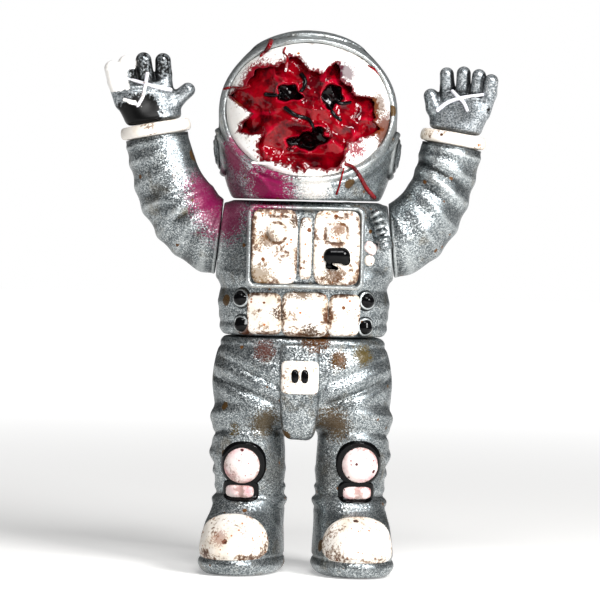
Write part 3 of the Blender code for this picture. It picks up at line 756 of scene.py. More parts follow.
class Coat:
    """A material that is built up the way the figure is painted: layer over layer."""

    def __init__(self, name: str) -> None:
        """Starts an empty material with the object's own coordinates at hand."""
        self.material = bpy.data.materials.new(name)
        self.material.use_nodes = True
        self.tree = self.material.node_tree
        self.tree.nodes.clear()
        self.places = add_node(self.tree, "ShaderNodeTexCoord").outputs["Object"]
        self.colour: bpy.types.NodeSocket | None = None
        self.cover: object = 0.0

    def cells(self, pitch: float, seed: float = 0.0) -> tuple[
        bpy.types.NodeSocket, bpy.types.NodeSocket
    ]:
        """Random cells of a pitch in millimetres: the distance from each middle, and a colour."""
        move = add_node(
            self.tree, "ShaderNodeMapping", {"Location": (seed, -seed, seed * 0.7)}, {
                "Vector": self.places
            }
        )
        voronoi = add_node(
            self.tree, "ShaderNodeTexVoronoi", {"Scale": 1 / (pitch * MM)}, {
                "Vector": move.outputs[0]
            }
        )
        return voronoi.outputs["Distance"], voronoi.outputs["Color"]

    def noise(self, pitch: float, detail: float = 3.0, seed: float = 0.0) -> bpy.types.NodeSocket:
        """Cloudy noise whose largest clouds have a pitch in millimetres."""
        move = add_node(
            self.tree, "ShaderNodeMapping", {"Location": (seed, seed * 0.3, -seed)}, {
                "Vector": self.places
            }
        )
        made = add_node(
            self.tree,
            "ShaderNodeTexNoise",
            {"Scale": 1 / (pitch * MM), "Detail": detail, "Roughness": 0.6},
            {"Vector": move.outputs[0]},
        )
        return made.outputs["Factor" if "Factor" in made.outputs else "Fac"]

    def painted(self, key: str) -> bpy.types.NodeSocket:
        """A value that the mesh carries at its points."""
        return add_node(self.tree, "ShaderNodeAttribute", attribute_name=key).outputs["Fac"]

    def between(
        self,
        source: bpy.types.NodeSocket,
        low: float,
        high: float,
        top: float = 1.0,
    ) -> bpy.types.NodeSocket:
        """0 at low and the top value at high, held past both. Low may be the greater one."""
        inputs = {"From Min": low, "From Max": high, "To Max": top}
        made = add_node(self.tree, "ShaderNodeMapRange", inputs, {"Value": source}, clamp=True)
        return made.outputs["Result"]

    def fray(self, pitch: float, detail: float, seed: float, amount: float) -> bpy.types.NodeSocket:
        """Noise round zero, to break up the edge of a mask."""
        centred = self.math("SUBTRACT", self.noise(pitch, detail, seed), 0.5)
        return self.math("MULTIPLY", centred, amount)

    def math(self, how: str, a: object, b: object) -> bpy.types.NodeSocket:
        """One sum on two values, each a socket or a number."""
        pairs = list(enumerate((a, b)))
        sockets = {i: v for i, v in pairs if isinstance(v, bpy.types.NodeSocket)}
        numbers = {i: v for i, v in pairs if i not in sockets}
        return add_node(self.tree, "ShaderNodeMath", numbers, sockets, operation=how).outputs[0]

    def lay(self, mask: object, colour: object, how: str = "MIX") -> None:
        """Lays a colour, given as a hex code or a socket, over what is there, by a mask."""
        inputs: dict[int | str, object] = {}
        links: dict[int | str, bpy.types.NodeSocket] = {}
        for key, value in ((0, mask), (6, self.colour or colour), (7, colour)):
            if isinstance(value, bpy.types.NodeSocket):
                links[key] = value
            else:
                inputs[key] = linear(value) if isinstance(value, str) else value
        made = add_node(self.tree, "ShaderNodeMix", inputs, links, data_type="RGBA", blend_type=how)
        self.colour = made.outputs[2]

    def splash(self, mask: bpy.types.NodeSocket, colour: str) -> None:
        """Lays a paint without metal in it, and adds it to what the metal is covered by."""
        self.lay(mask, colour)
        self.cover = self.math("MAXIMUM", self.cover, mask)

    def lay_spots(self, spots: Spots, seed: float) -> None:
        """Lays flicked droplets over the coat: some cells hold one, and noise frays its edge."""
        distance, random = self.cells(spots.pitch, seed)
        split = add_node(self.tree, "ShaderNodeSeparateColor", links={0: random})
        size = self.math("MULTIPLY", split.outputs[1], spots.size)
        frayed = self.fray(0.5, 2.0, seed, spots.ragged)
        edge = self.math("SUBTRACT", size, self.math("ADD", distance, frayed))
        there = self.math("LESS_THAN", split.outputs[0], spots.share)
        self.splash(self.math("MULTIPLY", self.between(edge, 0.0, 0.03), there), spots.colour)

    def lay_spray(self, spray: Spray, stand: Stand, grain: float = 0.28) -> None:
        """Lays an overspray whose droplets grow sparse towards its edge."""
        away = add_node(
            self.tree,
            "ShaderNodeVectorMath",
            {1: stand.metres(spray.centre)},
            {0: self.places},
            operation="DISTANCE",
        )
        fade = self.between(away.outputs["Value"], spray.reach * MM, spray.reach * 0.3 * MM)
        split = add_node(
            self.tree, "ShaderNodeSeparateColor", links={0: self.cells(grain, spray.reach)[1]}
        )
        grains = self.math("MULTIPLY", split.outputs[0], 0.7)
        clouds = self.math("MULTIPLY", self.noise(2.2, 4.0, 0.3), 0.5)
        mist = self.math("ADD", self.math("ADD", fade, grains), clouds)
        present = self.math("MULTIPLY", self.between(mist, 1.0, 1.28), self.between(fade, 0.0, 0.1))
        self.splash(self.math("MULTIPLY", present, spray.strength), spray.colour)

    def finish(
        self,
        values: dict[str, object],
        links: dict[str, bpy.types.NodeSocket] | None = None,
    ) -> bpy.types.Material:
        """Closes the coat with a Principled shader.

        Args:
            values: what is the same all over the surface, for the shader's own sockets.
            links: what varies over the surface.

        Returns:
            The material.
        """
        shader = add_node(self.tree, "ShaderNodeBsdfPrincipled", values, links)
        if self.colour is not None:
            self.tree.links.new(self.colour, shader.inputs["Base Color"])
        add_node(self.tree, "ShaderNodeOutputMaterial", links={"Surface": shader.outputs[0]})
        return self.material


@dataclass(frozen=True)
class SilverFlakePaint:
    """Aluminium-flake lacquer sprayed coarse over soft vinyl.

    The flakes lie at slightly different angles, so the surface glitters in grains. Real flakes are
    0.05 to 0.1 mm wide, too fine to show, so they are drawn `grain` millimetres wide. Painted shade
    darkens the creases, and a painted highlight lightens what stands out.
    """

    grain: float = 0.24
    light: str = "#dfe4e4"
    middle: str = "#80878a"
    dark: str = "#393f42"
    crease: str = "#16191a"

    def build(self, stand: Stand, sprays: Sequence[Spray]) -> bpy.types.Material:
        """Makes the material, with the oversprays of other colours and the patches of painted shade
        over it.
        """
        coat = Coat("silver_flake_lacquer_on_vinyl")
        distance, random = coat.cells(self.grain)
        split = add_node(coat.tree, "ShaderNodeSeparateColor", links={0: random})
        coat.lay(1.0, self.middle)
        coat.lay(coat.between(split.outputs[0], 0.5, 1.1), self.light)
        coat.lay(coat.between(split.outputs[0], 0.45, -0.15), self.dark)
        coat.lay(coat.between(coat.noise(7.0), 0.48, 0.7, 0.62), self.dark)
        cavity, ridge = coat.painted("cavity"), coat.painted("ridge")
        # painted shade: creases darkened to near black by the mesh's cavity
        coat.lay(coat.between(cavity, 0.08, 0.5, 0.85), self.crease)
        # painted highlight: outer edges lightened by the mesh's ridge
        coat.lay(coat.between(ridge, 0.1, 0.5, 0.45), self.light)
        coat.lay(coat.between(coat.noise(5.0, 5.0, 0.4), 0.56, 0.7, 0.42), "#6a5b3c")
        for spray in sprays:
            coat.lay_spray(spray, stand)
        coat.lay_spots(Spots(5.2, 0.16, 0.34, "#4a3519"), 0.013)
        coat.lay_spots(Spots(1.7, 0.07, 0.42, "#5b3a1a"), 0.029)

        tilt = add_node(
            coat.tree,
            "ShaderNodeVectorMath",
            {1: (0.5, 0.5, 0.5)},
            {0: random},
            operation="SUBTRACT",
        )
        scaled = add_node(
            coat.tree,
            "ShaderNodeVectorMath",
            {"Scale": 0.32},
            {0: tilt.outputs[0]},
            operation="SCALE",
        )
        facing = add_node(coat.tree, "ShaderNodeNewGeometry")
        tipped = add_node(
            coat.tree,
            "ShaderNodeVectorMath",
            links={0: facing.outputs["Normal"], 1: scaled.outputs[0]},
            operation="ADD",
        )
        level = add_node(
            coat.tree, "ShaderNodeVectorMath", links={0: tipped.outputs[0]}, operation="NORMALIZE"
        )
        rough = coat.math("ADD", coat.math("MULTIPLY", split.outputs[1], 0.18), 0.27)
        metal = coat.math("MULTIPLY", coat.math("SUBTRACT", 1.0, coat.cover), 0.88)
        varied = {"Normal": level.outputs[0], "Roughness": rough, "Metallic": metal}
        return coat.finish({"Specular IOR Level": 0.22}, varied)


@dataclass(frozen=True)
class HandPaintedWhite:
    """Warm white vinyl paint brushed on thick, with rust-brown wash caught along its edges."""

    name: str
    base: str = "#efe9e1"
    tint: str = "#dccfbd"
    wash: str = "#472206"
    glaze: str = "#805618"
    wash_strength: float = 1.0
    torn: str = ""
    spots: tuple[Spots, ...] = (
        Spots(0.9, 0.22, 0.36, "#b06a35"),
        Spots(2.3, 0.2, 0.3, "#6b3a17"),
        Spots(4.8, 0.2, 0.22, "#402312"),
    )

    def build(self, stand: Stand, sprays: Sequence[Spray]) -> bpy.types.Material:
        """Makes the material. The wash is broken up by noise at 0.8 and 6.5 mm."""
        coat = Coat(self.name)
        coat.lay(1.0, self.base)
        coat.lay(coat.between(coat.noise(6.0, 4.0), 0.45, 0.7), self.tint)
        fine, broad = coat.fray(0.8, 6.0, 0.2, 2.6), coat.fray(6.5, 2.0, 0.5, 2.4)
        edge = coat.math("MULTIPLY", coat.painted("cavity"), 0.62)
        patchy = coat.math("ADD", coat.math("ADD", edge, fine), broad)
        coat.lay(coat.between(patchy, 0.3, 0.5, 0.6 * self.wash_strength), self.glaze)
        coat.lay(coat.between(patchy, 0.5, 0.78, 0.9 * self.wash_strength), self.wash)
        if self.torn:
            frayed = coat.math("ADD", coat.painted("torn"), fine)
            coat.lay(coat.between(frayed, 0.3, 0.75), self.torn)
        for seed, spots in enumerate(self.spots):
            coat.lay_spots(spots, 0.017 * (seed + 1))
        for spray in sprays:
            coat.lay_spray(spray, stand)
        grain = add_node(
            coat.tree,
            "ShaderNodeBump",
            {"Strength": 0.35, "Distance": 0.12 * MM},
            {"Height": coat.noise(0.9, 4.0)},
        )
        values = {"Roughness": 0.44, "Specular IOR Level": 0.22}
        return coat.finish(values, {"Normal": grain.outputs[0]})


@dataclass(frozen=True)
class BlackEnamel:
    """Black gloss enamel, flooded on with a brush: deep black, with a clear, wavy gloss."""

    def build(self) -> bpy.types.Material:
        """Makes the material."""
        coat = Coat("black_gloss_enamel")
        coat.lay(1.0, "#060607")
        coat.lay(coat.between(coat.noise(1.2, 3.0), 0.62, 0.8), "#1b1c1e")
        wavy = add_node(
            coat.tree, "ShaderNodeBump", {"Strength": 0.3, "Distance": 0.15 * MM}, {
                "Height": coat.noise(2.0)
            }
        )
        values = {"Roughness": 0.1, "Specular IOR Level": 0.16}
        return coat.finish(values, {"Normal": wavy.outputs[0]})


@dataclass(frozen=True)
class RedResin:
    """Red-dyed clear resin, poured thick: black in its pits, with painted shade in its grooves and
    a crimson painted highlight on its crests.
    """

    def build(self) -> bpy.types.Material:
        """Makes the material. The mesh's `cavity` carries its black pits and the painted shade in
        its grooves, and `ridge` the painted highlight on its crests.
        """
        coat = Coat("poured_red_resin")
        coat.lay(1.0, "#7c000c")
        coat.lay(coat.between(coat.noise(4.0, 4.0), 0.45, 0.62, 0.9), "#3a0006")
        # painted highlight: the crests lightened to crimson by the mesh's ridge
        coat.lay(coat.between(coat.painted("ridge"), 0.25, 0.9), "#9a051f")
        # the pits painted black, and painted shade in the grooves, both by the mesh's cavity
        coat.lay(coat.between(coat.painted("cavity"), 0.3, 0.85), "#050203")
        coat.lay(coat.between(coat.noise(1.1, 5.0, 0.6), 0.62, 0.72, 0.75), "#3a0209")
        wavy = add_node(
            coat.tree,
            "ShaderNodeBump",
            {"Strength": 0.9, "Distance": 0.5 * MM},
            {"Height": coat.noise(1.9, 1.0)},
        )
        values = {"Roughness": 0.07, "Specular IOR Level": 0.26}
        return coat.finish(values, {"Normal": wavy.outputs[0]})


@dataclass(frozen=True)
class GlovePaint:
    """The suit's silver lacquer, with black and white brushed over it where the mesh says so."""

    def build(self) -> bpy.types.Material:
        """Makes the material. The mesh carries `black` and `white` as amounts of paint."""
        coat = Coat("brushed_glove_paint")
        _, random = coat.cells(0.3)
        split = add_node(coat.tree, "ShaderNodeSeparateColor", links={0: random})
        coat.lay(1.0, "#868c90")
        coat.lay(coat.between(split.outputs[0], 0.5, 1.1), "#cfd3d5")
        coat.lay(coat.between(split.outputs[0], 0.45, -0.1), "#3c4245")
        # painted shade: creases between the fingers and in the palm, by the mesh's cavity
        coat.lay(coat.between(coat.painted("cavity"), 0.05, 0.4, 0.9), "#1d1f21")
        fray = coat.fray(0.8, 5.0, 0.0, 1.3)
        black = coat.between(coat.math("ADD", coat.painted("black"), fray), 0.42, 0.56)
        white = coat.between(coat.math("ADD", coat.painted("white"), fray), 0.45, 0.55)
        coat.lay(black, "#060606")
        coat.lay(white, "#f1eeea")
        dry = coat.math("MAXIMUM", black, white)
        bare = coat.math("MULTIPLY", coat.math("SUBTRACT", 1.0, dry), 0.75)
        values = {"Roughness": 0.34, "Specular IOR Level": 0.2}
        return coat.finish(values, {"Metallic": bare})


@dataclass
class PaintShelf:
    """Every finish of the figure, made once."""

    stand: Stand
    magenta: str = "#7a0340"
    made: dict[str, bpy.types.Material] = field(default_factory=dict)

    def mix(self) -> None:
        """Makes the finishes. The oversprays and the patches of painted shade are placed in the
        figure's millimetres.
        """
        on_silver = (
            # painted shade: the figure's right flank, on the side away from the key light
            Spray((-20.0, -13.0, 84.0), 13.0, "#1c1f21", 0.5),
            # painted shade: the inner legs, where they face each other
            Spray((-5.0, -9.0, 26.0), 9.0, "#28241a", 0.6),
            Spray((5.5, -9.0, 26.0), 9.0, "#241f14", 0.6),
            Spray((-10.0, -18.0, 99.0), 10.5, self.magenta),
            Spray((-17.5, -12.0, 107.0), 7.5, self.magenta, 0.9),
            Spray((-21.0, -8.0, 92.5), 11.0, "#680a3a", 0.85),
            Spray((-25.5, -6.0, 97.5), 9.0, "#740a42", 0.9),
            Spray((2.0, -20.0, 99.5), 6.0, "#e8e2dc", 0.6),
            Spray((15.2, -14.5, 88.0), 2.0, "#6fa8c4", 0.7),
            Spray((-20.5, -12.0, 79.5), 1.6, "#3f7f9f", 0.8),
            Spray((3.5, -15.5, 61.6), 6.5, "#4a2804"),
            Spray((-10.0, -14.5, 57.5), 4.6, "#4a1e10", 0.9),
            Spray((9.5, -14.5, 55.5), 3.8, "#4a2e06"),
            Spray((16.0, -12.5, 57.0), 4.6, "#4a3c10", 0.95),
            Spray((-15.0, -13.0, 62.0), 3.6, "#4a2406", 0.9),
            Spray((-9.0, -12.0, 38.5), 6.0, "#3e3014", 0.9),
            Spray((8.0, -12.0, 38.5), 7.0, "#44300c", 0.9),
            Spray((-17.6, -11.5, 36.8), 2.6, "#4c3c14", 0.95),
            Spray((13.5, -12.0, 93.0), 3.4, "#4a3408", 0.9),
            Spray((-33.5, -9.0, 104.2), 1.5, "#6e3a0c", 0.95),
            Spray((-34.0, -9.0, 101.6), 1.1, "#6e3a0c", 0.95),
        )
        on_white = (
            Spray((-13.5, -21.0, 14.5), 4.8, "#7a4226", 0.85),
            Spray((-20.5, -20.0, 10.0), 3.6, "#94604e", 0.6),
            Spray((-2.0, -19.5, 91.0), 3.2, "#3e2208", 0.95),
            Spray((-9.5, -19.5, 86.0), 3.6, "#5a3a14", 0.8),
            Spray((-11.5, -19.5, 77.0), 4.4, "#62481e", 0.75),
            Spray((7.5, -19.5, 77.0), 3.8, "#4c2c0c", 0.85),
            Spray((8.5, -19.5, 89.0), 2.8, "#6a3e14", 0.8),
            Spray((-6.6, -17.0, 66.8), 3.4, "#3e2208", 0.95),
            Spray((7.0, -17.0, 66.4), 3.2, "#4c260a", 0.9),
            Spray((2.0, -17.0, 61.8), 4.0, "#3e2408", 0.95),
            Spray((-0.5, -17.0, 72.6), 3.2, "#553610", 0.85),
        )
        on_visor = (
            Spray((19.0, -11.0, 114.5), 7.5, "#5e2604", 0.95),
            Spray((17.5, -13.0, 121.0), 4.5, "#523008", 0.8),
            Spray((-13.5, -15.0, 127.5), 7.5, "#780418", 1.0),
            Spray((-5.0, -18.5, 131.5), 4.2, "#80102c", 0.9),
            Spray((11.5, -17.0, 109.5), 4.5, "#780a24", 0.95),
            Spray((9.5, -17.0, 129.0), 4.4, "#3e1428", 0.8),
            Spray((-17.0, -12.0, 120.5), 2.6, "#7c4a18", 0.7),
        )
        pink = HandPaintedWhite(
            "pinkish_white_vinyl_paint",
            base="#f5e6e3",
            tint="#d8a4a9",
            wash="#7a3a34",
            wash_strength=0.5,
            spots=(Spots(0.8, 0.26, 0.34, "#8a4644"), Spots(2.1, 0.22, 0.3, "#4c1619")),
        )
        worn = HandPaintedWhite("rust_washed_white_vinyl_paint")
        clean = HandPaintedWhite(
            "white_vinyl_paint",
            base="#f8f6f3",
            tint="#efeae4",
            wash_strength=0.35,
            torn="#5c0812",
            spots=(Spots(3.2, 0.25, 0.2, "#a05a1c"), Spots(1.3, 0.08, 0.3, "#70360e")),
        )
        cuff = HandPaintedWhite(
            "thick_white_cuff_paint", spots=(
                Spots(1.4, 0.1, 0.28, "#9a6030"), Spots(2.6, 0.12, 0.24, "#4a2a14")
            )
        )
        string = HandPaintedWhite(
            "thick_white_string_paint", base="#eceaf0", tint="#cfcfd8", spots=()
        )
        self.made = {
            "silver": SilverFlakePaint().build(self.stand, on_silver),
            "worn": worn.build(self.stand, on_white),
            "pink": pink.build(self.stand, ()),
            "visor": clean.build(self.stand, on_visor),
            "cuff": cuff.build(self.stand, ()),
            "string": string.build(self.stand, ()),
            "black": BlackEnamel().build(),
            "red": RedResin().build(),
            "glove": GlovePaint().build(),
        }

    def __getitem__(self, name: str) -> bpy.types.Material:
        """One finish by its short name."""
        return self.made[name]


@dataclass
class Bench:
    """What the builders of the bodies share: the stand, the paints and a way to hang pieces up."""

    stand: Stand
    paints: PaintShelf
    body: ClassVar[Body]

    def hang(self, name: str, shape: Shape, finish: str, *nodes: str) -> None:
        """Hangs a shape up as a piece of this body.

        Args:
            name: the piece's name.
            shape: its surface.
            finish: the short name of its paint, which says its slot too.
            *nodes: the CAD nodes that it stands for.
        """
        self.stand.add(name, shape, self.body, SLOT_OF[finish], self.paints[finish], nodes)


# ---------------------------------------------------------------- lower body


@dataclass
class LowerBody(Bench):
    """Hips, legs and boots in one casting, and the pads that lie on it."""

    body = Body.LOWER
    leg_x: float = 13.1
    hip_height: float = 37.2
    ankle: tuple[float, float] = (12.8, 1.0)
    boot_turn: dict[Side, float] = field(default_factory=lambda: {Side.RIGHT: 15.0, Side.LEFT: 9.0})
    folds: tuple[Fold, ...] = (
        Fold(45.0, 0.6, 1.5, 4.0, 0.0, 160.0, 0.6),
        Fold(39.2, 0.9, 1.9, 2.2, 20.0, 90.0, 0.4),
        Fold(35.2, -0.75, 1.0, 1.8, 0.0, 80.0, 0.3),
        Fold(31.0, 0.75, 1.5, -1.0, 60.0, 110.0, 0.6),
        Fold(28.0, -0.5, 0.8, 1.4, 200.0, 110.0, 0.6),
        Fold(25.6, 0.5, 1.1, -0.8, 120.0, 140.0, 0.5),
        Fold(23.6, -0.5, 0.7, 0.8, 90.0, 140.0, 0.3),
        Fold(21.8, 0.5, 0.9, -0.6, 30.0, 180.0, 0.3),
    )

    def __post_init__(self) -> None:
        """Reads the waist plane from the frame."""
        self.top = self.stand.box("torso_shell")[0][2] - 0.3
        self.pelvis = Column(
            heights=(37.0, 40.0, 45.0, 51.5, 56.5, self.top),
            half_x=(14.5, 20.0, 22.7, 23.1, 22.1, 20.3),
            half_y=(8.4, 11.8, 14.2, 14.7, 14.2, 13.4),
            x=(0.0, 0.0, 0.0, 0.0, 0.0, 0.0),
            y=(0.8, 0.6, 0.3, 0.0, 0.0, 0.0),
            edge=0.9,
        )

    def leg(self, points: Array, side: Side) -> Array:
        """One leg with its folds, from inside the boot up into the hips."""
        s = side.value
        column = Column(
            heights=(12.0, 21.0, 28.0, 34.0, 40.0, 47.0),
            half_x=(8.5, 8.8, 9.4, 9.4, 9.8, 9.6),
            half_y=(9.4, 9.8, 10.7, 11.2, 11.9, 12.2),
            x=tuple(s * x for x in (12.9, 12.8, 13.4, 13.6, 13.1, 12.0)),
            y=(0.6, 0.4, -0.1, 0.0, 0.2, 0.3),
            power=2.2,
            edge=2.0,
        )
        angle = np.arctan2(s * (points[:, 0] - s * self.leg_x), -points[:, 1])
        z = points[:, 2]
        under_pads = ease(np.cos(angle), 0.15, 0.7) * ease(z, 15.0, 18.0) * ease(36.0 - z, 0.0, 2.5)
        return column(points) - folds_height(self.folds, z, angle) * (1 - 0.92 * under_pads)

    def boot_frame(self, side: Side) -> tuple[Array, Array, Array]:
        """The ankle's place on the floor, and the boot's own across and forward directions."""
        turn = math.radians(self.boot_turn[side]) * side.value
        across = np.array([math.cos(turn), math.sin(turn), 0.0])
        forward = np.array([math.sin(turn), -math.cos(turn), 0.0])
        return np.array([side.value * self.ankle[0], self.ankle[1], 0.0]), across, forward

    def boot(self, points: Array, side: Side) -> Array:
        """One boot: a column in the boot's own directions, with a welt round the sole."""
        heel, across, forward = self.boot_frame(side)
        local = np.stack(
            [(points - heel) @ across, -(points - heel) @ forward, points[:, 2]], axis=-1
        )
        column = Column(
            heights=(0.0, 1.2, 4.5, 9.0, 12.5, 15.6, 19.3),
            half_x=(9.0, 9.8, 10.1, 9.9, 9.6, 9.2, 9.3),
            half_y=(14.4, 15.4, 15.8, 15.0, 13.4, 11.2, 10.5),
            x=(0.0,) * 7,
            y=(-6.6, -6.8, -6.9, -6.2, -4.9, -2.3, -0.4),
            power=2.3,
            edge=1.1,
        )
        z = points[:, 2]
        welt = 0.28 * bump(z, 2.6, 0.9) - 0.35 * bump(z, 4.3, 0.45)
        collar = (0.35 * bump(z, 18.3, 0.9) - 0.3 * bump(z, 16.7, 0.6)) * ease(
            local[:, 1], -8.0, -4.0
        )
        heel_band = 0.4 * bump(z, 9.0, 2.2) * ease(local[:, 1], 4.0, 9.0)
        return column(local) - welt - collar - heel_band

    def skin(self, points: Array) -> Array:
        """The casting: hips and legs flow into each other, and boots meet legs in a crease."""
        legs = np.minimum(self.leg(points, Side.RIGHT), self.leg(points, Side.LEFT))
        x, y, z = points.T
        hips = self.pelvis(points)
        hips = hips - 0.35 * bump(z, 59.6, 0.8) + 0.22 * bump(z, 58.2, 0.5)
        crease = 44.2 + 0.42 * (np.abs(x) - 10.0) + 0.9 * np.sign(-y)
        front = ease(-y, 2.0, 8.0) * ease(np.abs(x), 4.0, 8.0)
        hips = hips - front * (0.75 * bump(z, crease + 2.8, 1.7) - 0.95 * bump(z, crease, 0.9))
        hips = hips - front * (0.5 * bump(z, crease + 8.0, 2.2) - 0.35 * bump(z, crease + 5.4, 0.9))
        legs = legs - front * (0.7 * bump(z, crease - 2.8, 1.7) - 0.6 * bump(z, crease, 0.9))
        seat = 0.9 * bump(z, 45.5, 5.0) * bump(np.abs(x), 9.0, 6.5) * ease(y, 4.0, 10.0)
        cleft = 0.9 * bump(x, 0.0, 0.9) * ease(y, 6.0, 11.0) * bump(z, 42.0, 7.0)
        whole = join(hips - seat + cleft, legs, 1.6)
        boots = np.minimum(self.boot(points, Side.RIGHT), self.boot(points, Side.LEFT))
        whole = join(whole, boots, 0.9) - 0.14 * ripple(points, 11.0, 3) * ease(z, 8.0, 20.0)
        return cut(whole, z - self.top, 0.6)

    def flap(self, points: Array) -> Array:
        """The flap over the crotch: it narrows and curls under at the foot."""
        heights = (34.5, 36.0, 38.0, 41.0, 46.0, 54.0, 59.3)
        column = Column(
            heights=heights,
            half_x=(3.0, 3.9, 4.4, 4.8, 5.15, 5.15, 5.15),
            half_y=(2.6, 3.5, 3.9, 4.0, 3.6, 3.3, 3.0),
            x=(-0.6,) * len(heights),
            y=(-10.4, -10.7, -11.4, -12.1, -13.0, -13.2, -12.9),
            power=4.0,
            edge=1.3,
        )
        return column(points) - 0.1 * ripple(points, 9.0, 5)

    def build_pads(self, side: Side) -> None:
        """The knee pad, the shin pad, the black plate that frames them, and the toe cap."""
        word = side.word
        knee = self.stand.middle(f"{word}_knee_pad")
        shin = self.stand.middle(f"{word}_shin_pad")
        inner = np.array([-side.value * 0.45, 0.0, 0.5])
        black = Pad(knee + inner, (5.85, 5.85), 0.6, power=2.3, edge=0.12, dome=0.1, sink=0.7)
        low_black = Pad(
            shin + inner * 0.6, (4.65, 2.9), 0.6, power=3.6, edge=0.2, dome=0.0, sink=0.7
        )
        lift = 0.35 if side is Side.RIGHT else 0.55

        def rim(a: Array, b: Array) -> Array:
            return lift * bump(oval(a, b, 5.7, 5.6), 0.93, 0.09) * ease(b, -2.5, 3.0)

        def drip(a: Array, b: Array) -> Array:
            return 0.28 * bump(a, 0.4, 0.55) * ease(b, 0.0, 2.0)

        def waist(a: Array, b: Array) -> Array:
            return -0.45 * bump(a, 0.2, 0.9)

        def dents(a: Array, b: Array) -> Array:
            return 0.12 * sheet_ripple(a, b, 4.0, 8)

        plate = black.shape(self.skin, rim)
        self.hang(f"{word}_knee_plate", plate, "black", f"{word}_knee_plate")
        frame_bar = low_black.shape(self.skin)
        self.hang(f"{word}_shin_plate", frame_bar, "black")
        pad = Pad(knee, (4.9, 4.85), 2.2, edge=0.4, dome=0.55, roll=8.0).shape(self.skin, drip)
        self.hang(f"{word}_knee_pad", pad, "pink", f"{word}_knee_pad")
        bar = Pad(shin, (3.85, 1.75), 1.7, power=3.6, edge=0.55, dome=0.3).shape(
            self.skin, waist, 18
        )
        self.hang(f"{word}_shin_pad", bar, "pink", f"{word}_shin_pad")

        heel, across, forward = self.boot_frame(side)
        toe = heel + forward * 17.6 + np.array([0.0, 0.0, 9.3])
        way = forward * 0.93 + np.array([0.0, 0.0, 0.52])
        cap = Pad(toe, (9.1, 7.0), 0.95, way=way, power=2.3, edge=0.12, dome=0.15, sink=0.5)
        toe_cap = cap.shape(lambda p: self.boot(p, side), dents, 34, 128)
        toe_cap.paint["cavity"] *= 0.6
        self.hang(f"{word}_toe_cap", toe_cap, "worn", f"{word}_toe_cap")

    def build(self) -> None:
        """Makes the casting and all that lies on it."""
        skin = level_surface(self.skin, (-26.5, -24.0, -0.4), (26.5, 18.0, self.top + 0.4), 0.42)
        skin.points[:, 2] = np.maximum(skin.points[:, 2], 0.0)
        self.hang("lower_body_casting", skin, "silver", "lower_body_shell")
        flap = level_surface(self.flap, (-7.0, -18.5, 33.6), (6.0, -7.0, 60.4), 0.26)
        self.hang("front_flap", flap, "silver", "front_flap")
        label = Pad(
            (-0.6, -14.0, 50.8), (4.85, 4.25), 0.35, power=7.0, edge=0.08, dome=0.0, sink=0.4
        )
        patch = label.shape(self.flap)
        patch.paint["cavity"] *= 0.45
        self.hang("flap_patch", patch, "worn")
        for place, x in (("right", -1.85), ("left", 0.65)):
            slot = Pad((x, -14.0, 51.1), (1.05, 1.9), 0.75, power=2.6, edge=0.5, dome=0.2, sink=0.4)
            made = slot.shape(self.flap, None, 10, 36)
            self.hang(f"flap_{place}_slot", made, "black")
        for side in Side:
            self.build_pads(side)


# ---------------------------------------------------------------- torso


